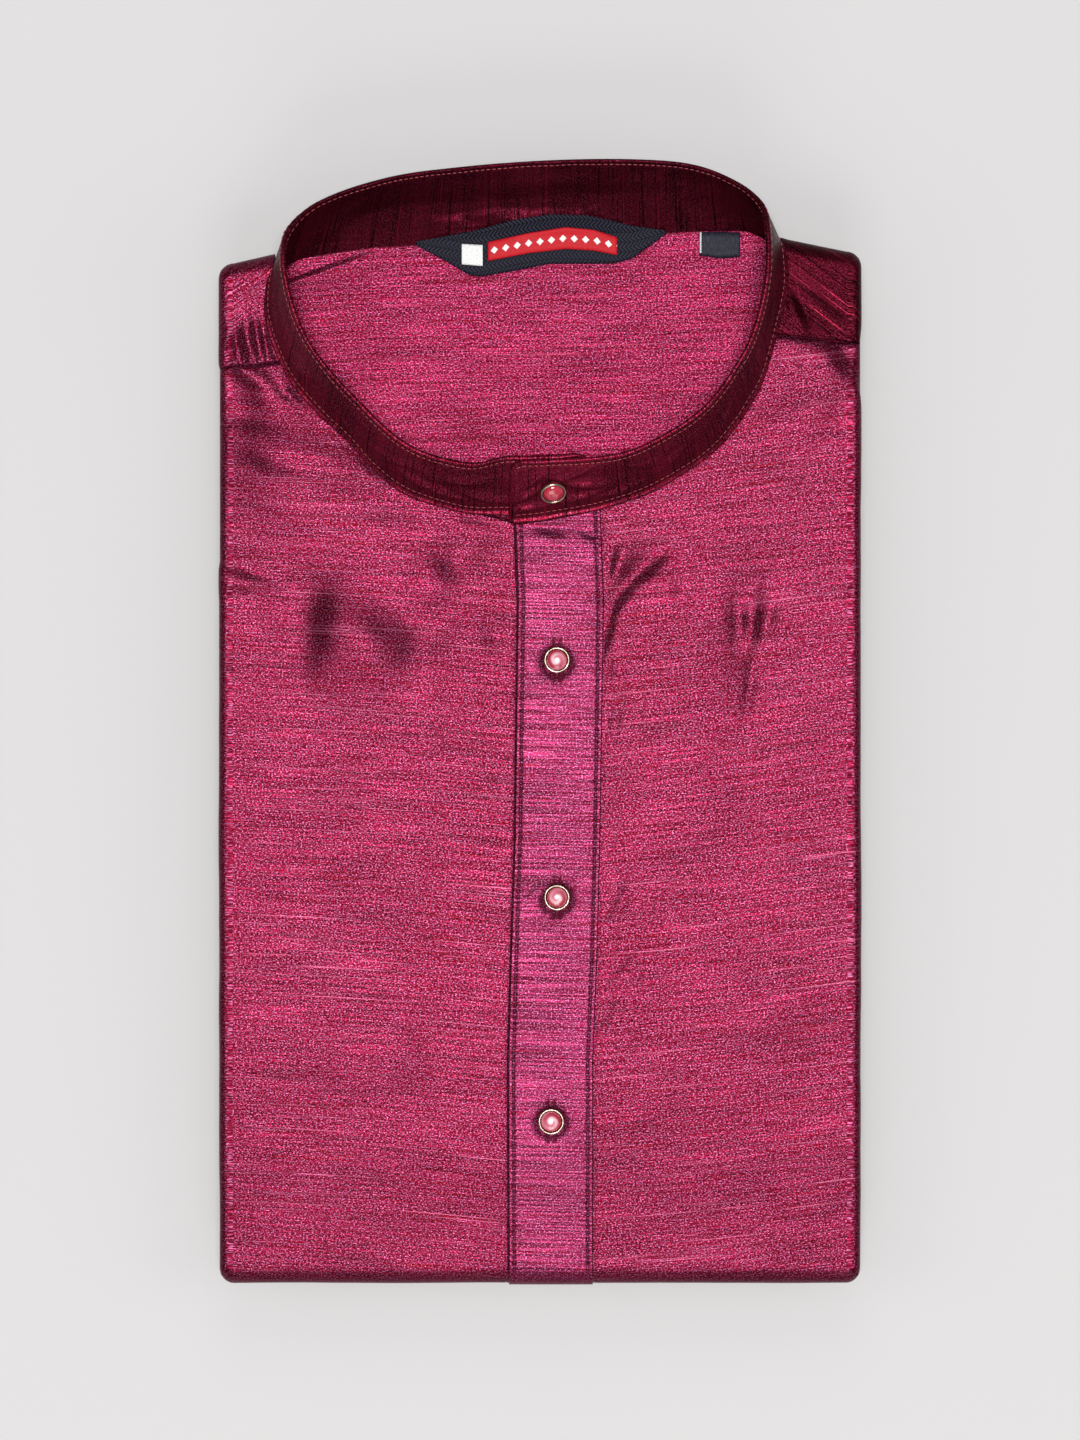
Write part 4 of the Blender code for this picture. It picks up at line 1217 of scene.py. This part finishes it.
def add_label(name, outline, columns, rows, lift, material, wall, flat):
    start, end = outline[0][0], outline[-1][0]

    def edges(x):
        return read_table(x, outline, 1), read_table(x, outline, 2)

    def place(u, v):
        x = start + (end - start) * u
        low, high = edges(x)
        y = low + (high - low) * v
        edge = np.minimum(np.minimum(y - low, high - y), 2.0) / 2.0
        curl = 0.12 * rough_noise(x, y, 11.0, 6.0, 13.0) - 0.35 * (1 - edge) ** 3
        points = np.stack([x, y, inside_height(x, y) + lift + LABEL + curl], axis=-1)
        return points, np.stack([x, y - (low + high) / 2 if name != "size_tab" else y - low], axis=-1)

    piece = add_piece(name + "_cloth", grid_mesh(name, columns, rows, place), material, [name])
    thicken(piece, wall)
    if flat:
        area = cut_area(lambda x: edges(x)[0], lambda x: edges(x)[1], start, end)
    return piece


def add_labels():
    on_tape = 3 * GAP + LABEL - 0.5
    satin = plain_weave("navy_satin", (0.008, 0.009, 0.016), (0.024, 0.026, 0.044), (0.4, 2.5, 1.0), 0.4)
    edge_thread = plain_weave("white_edge_thread", (0.45, 0.45, 0.46), (0.82, 0.82, 0.81), TWIST, 0.6)
    red = marked_weave("red_woven_patch", (0.52, 0.010, 0.019), (0.85, 0.82, 0.80), 4.0, 1.15, 0.0, 0.5)
    white = marked_weave("white_woven_square", (0.80, 0.80, 0.79), (0.05, 0.05, 0.07), 40.0, 0.0, 9.0, 0.6)
    patch = add_label("label_patch", PATCH, 60, 12, on_tape, red, 0.5, None)
    square = add_label("label_square", SQUARE, 14, 12, on_tape, white, 0.5, None)
    sewn_on, flat = [patch, square], (0.0877, 0.0172)
    add_label("label_tape", TAPE, 110, 26, 1.5 * GAP, tape_material(), 0.8, flat)
    add_label("size_tab", SIZE_TAB, 24, 14, GAP, satin, 0.5, (0.0144, 0.0105))
    add_selvedge(edge_thread)


def stitch_axes(first, last, beside, width, tall):
    """Half sizes of stitches along, beside and above their run, as three vectors each."""
    along = last - first
    ahead = unit(along)
    side = unit(beside - ahead * (beside * ahead).sum(axis=1, keepdims=True))
    return np.stack([side * width / 2, np.cross(ahead, side) * tall / 2, along / 2], axis=1)


def stitch_mesh(name, rows, material):
    """Swollen stitches: each row has a function from a distance to a place and a direction beside it."""
    shape = bmesh.new()
    bmesh.ops.create_uvsphere(shape, u_segments=6, v_segments=5, radius=1.0)
    one = bpy.data.meshes.new("one_stitch")
    shape.to_mesh(one)
    knot = np.array([vert.co for vert in shape.verts])
    shape.clear()
    places = []
    for at, start, end, pitch, length, width in rows:
        firsts = start + pitch * np.arange(int((end - start) / pitch))
        first, beside = at(firsts)
        last, _ = at(firsts + length)
        axes = stitch_axes(first, last, beside, width, width * 0.75)
        places.append(np.einsum("vk,nkd->nvd", knot, axes) + (first + last)[:, None] / 2)
    points = np.concatenate(places).reshape(-1, 3) * MM
    for _ in range(len(points) // len(knot)):
        shape.from_mesh(one)
    mesh = bpy.data.meshes.new(name)
    shape.to_mesh(mesh)
    shape.free()
    bpy.data.meshes.remove(one)
    mesh.vertices.foreach_set("co", points.astype(np.float32).ravel())
    corners = np.empty(len(mesh.loops), np.int32)
    mesh.loops.foreach_get("vertex_index", corners)
    cloth = np.stack([points[:, 0] + points[:, 2], points[:, 1] - points[:, 2]], axis=1)[corners]
    mesh.uv_layers.new(name="cloth").data.foreach_set("uv", cloth.astype(np.float32).ravel())
    mesh.update()
    return add_piece(name, mesh, material)


def add_stitches():
    def on_placket(column, inset):
        def at(y):
            x = placket_sides(y)[column] + inset
            return placket_place(x, y) + (0, 0, 0.10), pointing((1.0, 0.0, 0.0), y)

        return at

    def on_band(height_at, side):
        def at(distance):
            height = height_at(distance)
            here, above = band_face(distance, height, side), band_face(distance, height + 0.4, side)
            middle = band_point(distance, height, 0.0)
            return here + 0.12 * unit(here - middle), above - here

        return at

    def under_top(distance):
        return band_height(distance) - TOP_ROW

    def above_foot(distance):
        return LOWER_ROW + 0 * distance

    def on_yoke(x):
        y = front_top(x) + YOKE_OVERLAP + YOKE_ROW
        lift = creases_at(x, y) + puckers(x, 0 * x) + 0.25 + 0.12
        return laid(x, y, lift), pointing((0.0, 1.0, 0.0), x)

    def on_neck_seam(x):
        y = inside_edge(x) - NECK_SEAM_ROW
        return inner_face(x, y) + (0, 0, 0.15), pointing((0.0, 1.0, 0.0), x)

    plain = (STITCH_PITCH, STITCH_LENGTH, THREAD)
    round_band = (2.4, BAND_LENGTH - 4.0, *plain)
    placket_rows = [
        (on_placket(0, PLACKET_ROW), HEM_END + 4.0, 70.0, *plain),
        (on_placket(1, -PLACKET_ROW), HEM_END + 4.0, 74.0, *plain),
    ]
    band_rows = [
        (on_band(under_top, 1.0), *round_band),
        (on_band(above_foot, 1.0), *round_band),
        (on_band(under_top, -1.0), *round_band),
    ]
    yoke_rows = [(on_yoke, -SIDE_FOLD, -94.0, *plain), (on_yoke, 85.0, SIDE_FOLD, *plain)]
    stitch_mesh("placket_stitches", placket_rows, THREAD_PINK)
    stitch_mesh("band_stitches", band_rows, THREAD_BAND)
    stitch_mesh("yoke_stitches", yoke_rows, THREAD_PINK)
    stitch_mesh("neck_seam_stitches", [(on_neck_seam, -84.0, 72.0, *plain)], THREAD_RED)


def add_selvedge(material):
    """White twisted edge down the left side of the size tab."""
    pitch, foot, tall, thick = 0.6, 165.8, 7.2, 0.85

    def at(position):
        y = foot + position
        x = np.full(len(position), SIZE_TAB[0][0] + 0.5)
        twisted = x + 0.12 * (-1) ** np.rint(position / pitch)
        points = np.stack([twisted, y, inside_height(x, y) + GAP + LABEL + 0.3], axis=-1)
        return points, pointing((1.0, 0.25, 0.0), position)

    stitch_mesh("size_tab_selvedge", [(at, 0.0, tall, pitch, thick, thick)], material)


def add_buttonholes():
    """Close bars of thread down both sides of each buttonhole."""
    bars, apart, below, from_slit, long = 31, 0.5, 7.6, 0.45, 1.3

    def down_side(button_x, button_y, side):
        def at(position):
            y = button_y - below + (position // 1) * apart
            x = button_x + side * (from_slit + long * (position % 1))
            return placket_place(x, y) + (0, 0, 0.16), pointing((0.0, 1.0, 0.0), position)

        return at

    rows = []
    for button in BUTTONS_ON_PLACKET:
        for side in (-1, 1):
            rows.append((down_side(*button, side), 0.0, float(bars), 1.0, 0.96, 0.4))
    stitch_mesh("buttonhole_stitches", rows, THREAD_HOLE)


def swirl_resin(name, swirl_and_highlight):
    """Glossy resin dome: a spiral of white, pink and crimson, paler towards its middle, partly the swirl
    and partly a painted highlight. Less of spiral and highlight over plain red paints the shade of a dome
    turned from the light.
    """
    made, tree, shader = new_material(name)
    cloth = in_millimetres(tree, cloth_place(tree))
    along, across = parts_of(tree, cloth)[:2]
    from_middle = node(tree, "ShaderNodeVectorMath", {"operation": "LENGTH"}, {0: cloth}).outputs["Value"]
    spiral = math_node(tree, "ARCTAN2", across, along)
    spiral = math_node(tree, "MULTIPLY_ADD", from_middle, 2.6, spiral)
    spiral = math_node(tree, "MULTIPLY_ADD", noise_node(tree, cloth, (2.2, 2.2, 2.2), 2.0), 2.4, spiral)
    arms = ranged(tree, math_node(tree, "SINE", spiral), -0.9, 1.0)
    # Both arm colours grow paler towards the middle: painted highlight over the swirl's own colours.
    outward = ranged(tree, from_middle, 0.6, 3.0)
    pale = mix_colour(tree, outward, (0.92, 0.70, 0.73), (0.60, 0.14, 0.22))
    deep = mix_colour(tree, outward, (0.70, 0.22, 0.30), (0.36, 0.006, 0.03))
    colour = mix_colour(tree, swirl_and_highlight, (0.42, 0.008, 0.026), mix_colour(tree, arms, deep, pale))
    values = {"Base Color": colour, "Roughness": 0.16, "Coat Weight": 0.8, "Coat Roughness": 0.08}
    set_inputs(tree, shader, values)
    return made


def rim_metal():
    made, tree, shader = new_material("polished_pale_rim")
    where = in_millimetres(tree, node(tree, "ShaderNodeTexCoord").outputs["Object"])
    # The rim's colour and roughness vary in patches at random.
    patches = ranged(tree, noise_node(tree, where, (2.6, 2.6, 2.6), 3.0), 0.35, 0.65)
    colour = mix_colour(tree, patches, (0.30, 0.25, 0.18), (0.50, 0.44, 0.35))
    rough = ranged(tree, patches, 0.0, 1.0, 0.34, 0.26)
    set_inputs(tree, shader, {"Base Color": colour, "Roughness": rough, "Metallic": 1.0})
    return made


def rim_profile():
    """Bezel of a button, radius and height: a base flange, a round bead and the lip that holds the dome."""
    bead, bead_height, bead_wide, bead_tall = 4.12, 1.8, 0.43, 0.5
    rows = [(3.2, 0.1), (4.1, 0.15), (4.4, 0.6), (4.5, 1.1)]
    for degrees in range(-10, 181, 19):
        turn = math.radians(degrees)
        rows.append((bead + bead_wide * math.cos(turn), bead_height + bead_tall * math.sin(turn)))
    return rows + [(3.6, 1.4), (3.55, 1.0), (3.5, 0.4)]


def dome_profile():
    """Radius and height of a button's dome, from its top to its flat underside."""
    radius, foot, tall, steps = 3.62, 1.45, 1.95, 14
    rows = []
    for step in range(steps + 1):
        turn = math.pi / 2 * step / steps
        rows.append((radius * math.sin(turn), foot + tall * math.cos(turn)))
    return rows + [(3.4, 0.7), (0.0, 0.6)]


def turned_mesh(name, profile, where, closed):
    shape = bmesh.new()
    verts = [shape.verts.new((r * MM, 0, z * MM)) for r, z in profile]
    pairs = list(zip(verts, verts[1:])) + ([(verts[-1], verts[0])] if closed else [])
    edges = [shape.edges.new(pair) for pair in pairs]
    bmesh.ops.spin(
        shape,
        geom=verts + edges,
        cent=(0, 0, 0),
        axis=(0, 0, 1),
        dvec=(0, 0, 0),
        angle=2 * math.pi,
        steps=56,
        use_merge=True,
    )
    bmesh.ops.remove_doubles(shape, verts=shape.verts, dist=0.002 * MM)
    bmesh.ops.recalc_face_normals(shape, faces=shape.faces)
    uv = shape.loops.layers.uv.new("cloth")
    for face in shape.faces:
        for corner in face.loops:
            corner[uv].uv = (corner.vert.co.x, corner.vert.co.y)
    shape.transform(where)
    mesh = bpy.data.meshes.new(name)
    shape.to_mesh(mesh)
    shape.free()
    return mesh


def add_buttons():
    resin, metal = swirl_resin("swirled_resin", 1.0), rim_metal()
    # The collar button's dome shows little of the pale swirl: painted shade of a dome tilted from the
    # overhead light.
    shaded_resin = swirl_resin("swirled_resin_shaded", 0.16)
    distance = np.array([np.interp(COLLAR_BUTTON_X, COLLAR_ROWS[:3, 0], COLLAR_MARKS[:3])])
    height = COLLAR_BUTTON_UP * band_height(distance)
    face = band_point(distance, height, BAND_HALF)[0]
    outward = unit(face - band_point(distance, height, 0.0)[0])
    places = [(face, outward)]
    for x, y in BUTTONS_ON_PLACKET:
        places.append((laid(np.array([x]), np.array([y]), GAP + WALL)[0], (0.0, 0.0, 1.0)))
    for number, (place, normal) in enumerate(places, start=1):
        turned = Vector(normal).to_track_quat("Z", "Y").to_matrix().to_4x4()
        where = Matrix.Translation((Vector(place) + Vector(normal) * GAP) * MM) @ turned
        spun = where @ Matrix.Rotation(1.9 * number, 4, "Z")
        rim = turned_mesh("rim", rim_profile(), where, True)
        add_piece(f"button_{number}_rim_turned", rim, metal, [f"button_{number}_rim"])
        dome = turned_mesh("dome", dome_profile(), spun, False)
        finish = shaded_resin if number == 1 else resin
        add_piece(f"button_{number}_dome_turned", dome, finish, [f"button_{number}_dome"])


CAMERA_HEIGHT = 1.3
PHOTO_MM_PER_PIXEL = 0.35  # at the height of the chest
CHEST = 0.024
PHOTO_TALL = 1440
SENSOR = 36.0


CAMERA_Y = 0.00215
FLOOR_HALF = 12.0
FLOOR_COLOUR = (0.58, 0.57, 0.57, 1.0)
WORLD_COLOUR = (1.0, 0.99, 0.99, 1.0)
WORLD_STRENGTH = 0.25
SUN_STRENGTH = 2.45
SUN_ANGLE = 22
SOFTBOX_HEIGHT = 1.05
SOFTBOXES = (
    # side, x, y, watts, whether glossy surfaces reflect it
    ("left", -1.5, 0.0, 4.0, False),
    ("right", 1.5, 0.0, 4.0, False),
    ("hem", 0.0, -1.5, 8.0, True),
    ("neck", 0.0, 1.5, 4.0, False),
)


def add_camera():
    data = bpy.data.cameras.new("camera")
    data.sensor_width = SENSOR
    data.lens = SENSOR * (CAMERA_HEIGHT - CHEST) / (PHOTO_TALL * PHOTO_MM_PER_PIXEL * MM)
    camera = bpy.data.objects.new("camera", data)
    camera.location = (0.0, CAMERA_Y, CAMERA_HEIGHT)
    bpy.context.scene.collection.objects.link(camera)
    bpy.context.scene.camera = camera


def add_softbox(name, location, power, glossy):
    data = bpy.data.lights.new(name, "AREA")
    data.shape = "SQUARE"
    data.size = 1.0
    data.energy = power
    light = bpy.data.objects.new(name, data)
    light.location = location
    light.rotation_euler = Vector(location).to_track_quat("Z", "Y").to_euler()
    light.visible_camera = False
    light.visible_glossy = glossy
    bpy.context.scene.collection.objects.link(light)


def add_studio():
    shape = bmesh.new()
    bmesh.ops.create_grid(shape, x_segments=2, y_segments=2, size=FLOOR_HALF)
    bmesh.ops.translate(shape, verts=shape.verts, vec=(0, 0, -0.2 * MM))
    mesh = bpy.data.meshes.new("stage_floor")
    shape.to_mesh(mesh)
    shape.free()
    made, tree, shader = new_material("pale_floor")
    set_inputs(tree, shader, {"Base Color": FLOOR_COLOUR, "Roughness": 0.9, "Specular IOR Level": 0.0})
    mesh.materials.append(made)
    floor = bpy.data.objects.new("stage_floor", mesh)
    bpy.context.scene.collection.objects.link(floor)
    world = bpy.data.worlds.new("studio")
    world.use_nodes = True
    background = world.node_tree.nodes["Background"]
    background.inputs["Color"].default_value = WORLD_COLOUR
    background.inputs["Strength"].default_value = WORLD_STRENGTH
    bpy.context.scene.world = world
    bpy.context.scene.view_settings.view_transform = "Standard"
    data = bpy.data.lights.new("overhead_light", "SUN")
    data.energy = SUN_STRENGTH
    data.angle = math.radians(SUN_ANGLE)
    overhead = bpy.data.objects.new("overhead_light", data)
    overhead.location = (0.0, 0.0, 2.0)
    bpy.context.scene.collection.objects.link(overhead)
    for side, x, y, power, glossy in SOFTBOXES:
        add_softbox(f"{side}_softbox", (x, y, SOFTBOX_HEIGHT), power, glossy)


add_leaves()
add_fronts()
add_placket()
add_yokes()
add_back_inner()
add_collar()
add_labels()
add_stitches()
add_buttonholes()
add_buttons()
add_camera()
add_studio()
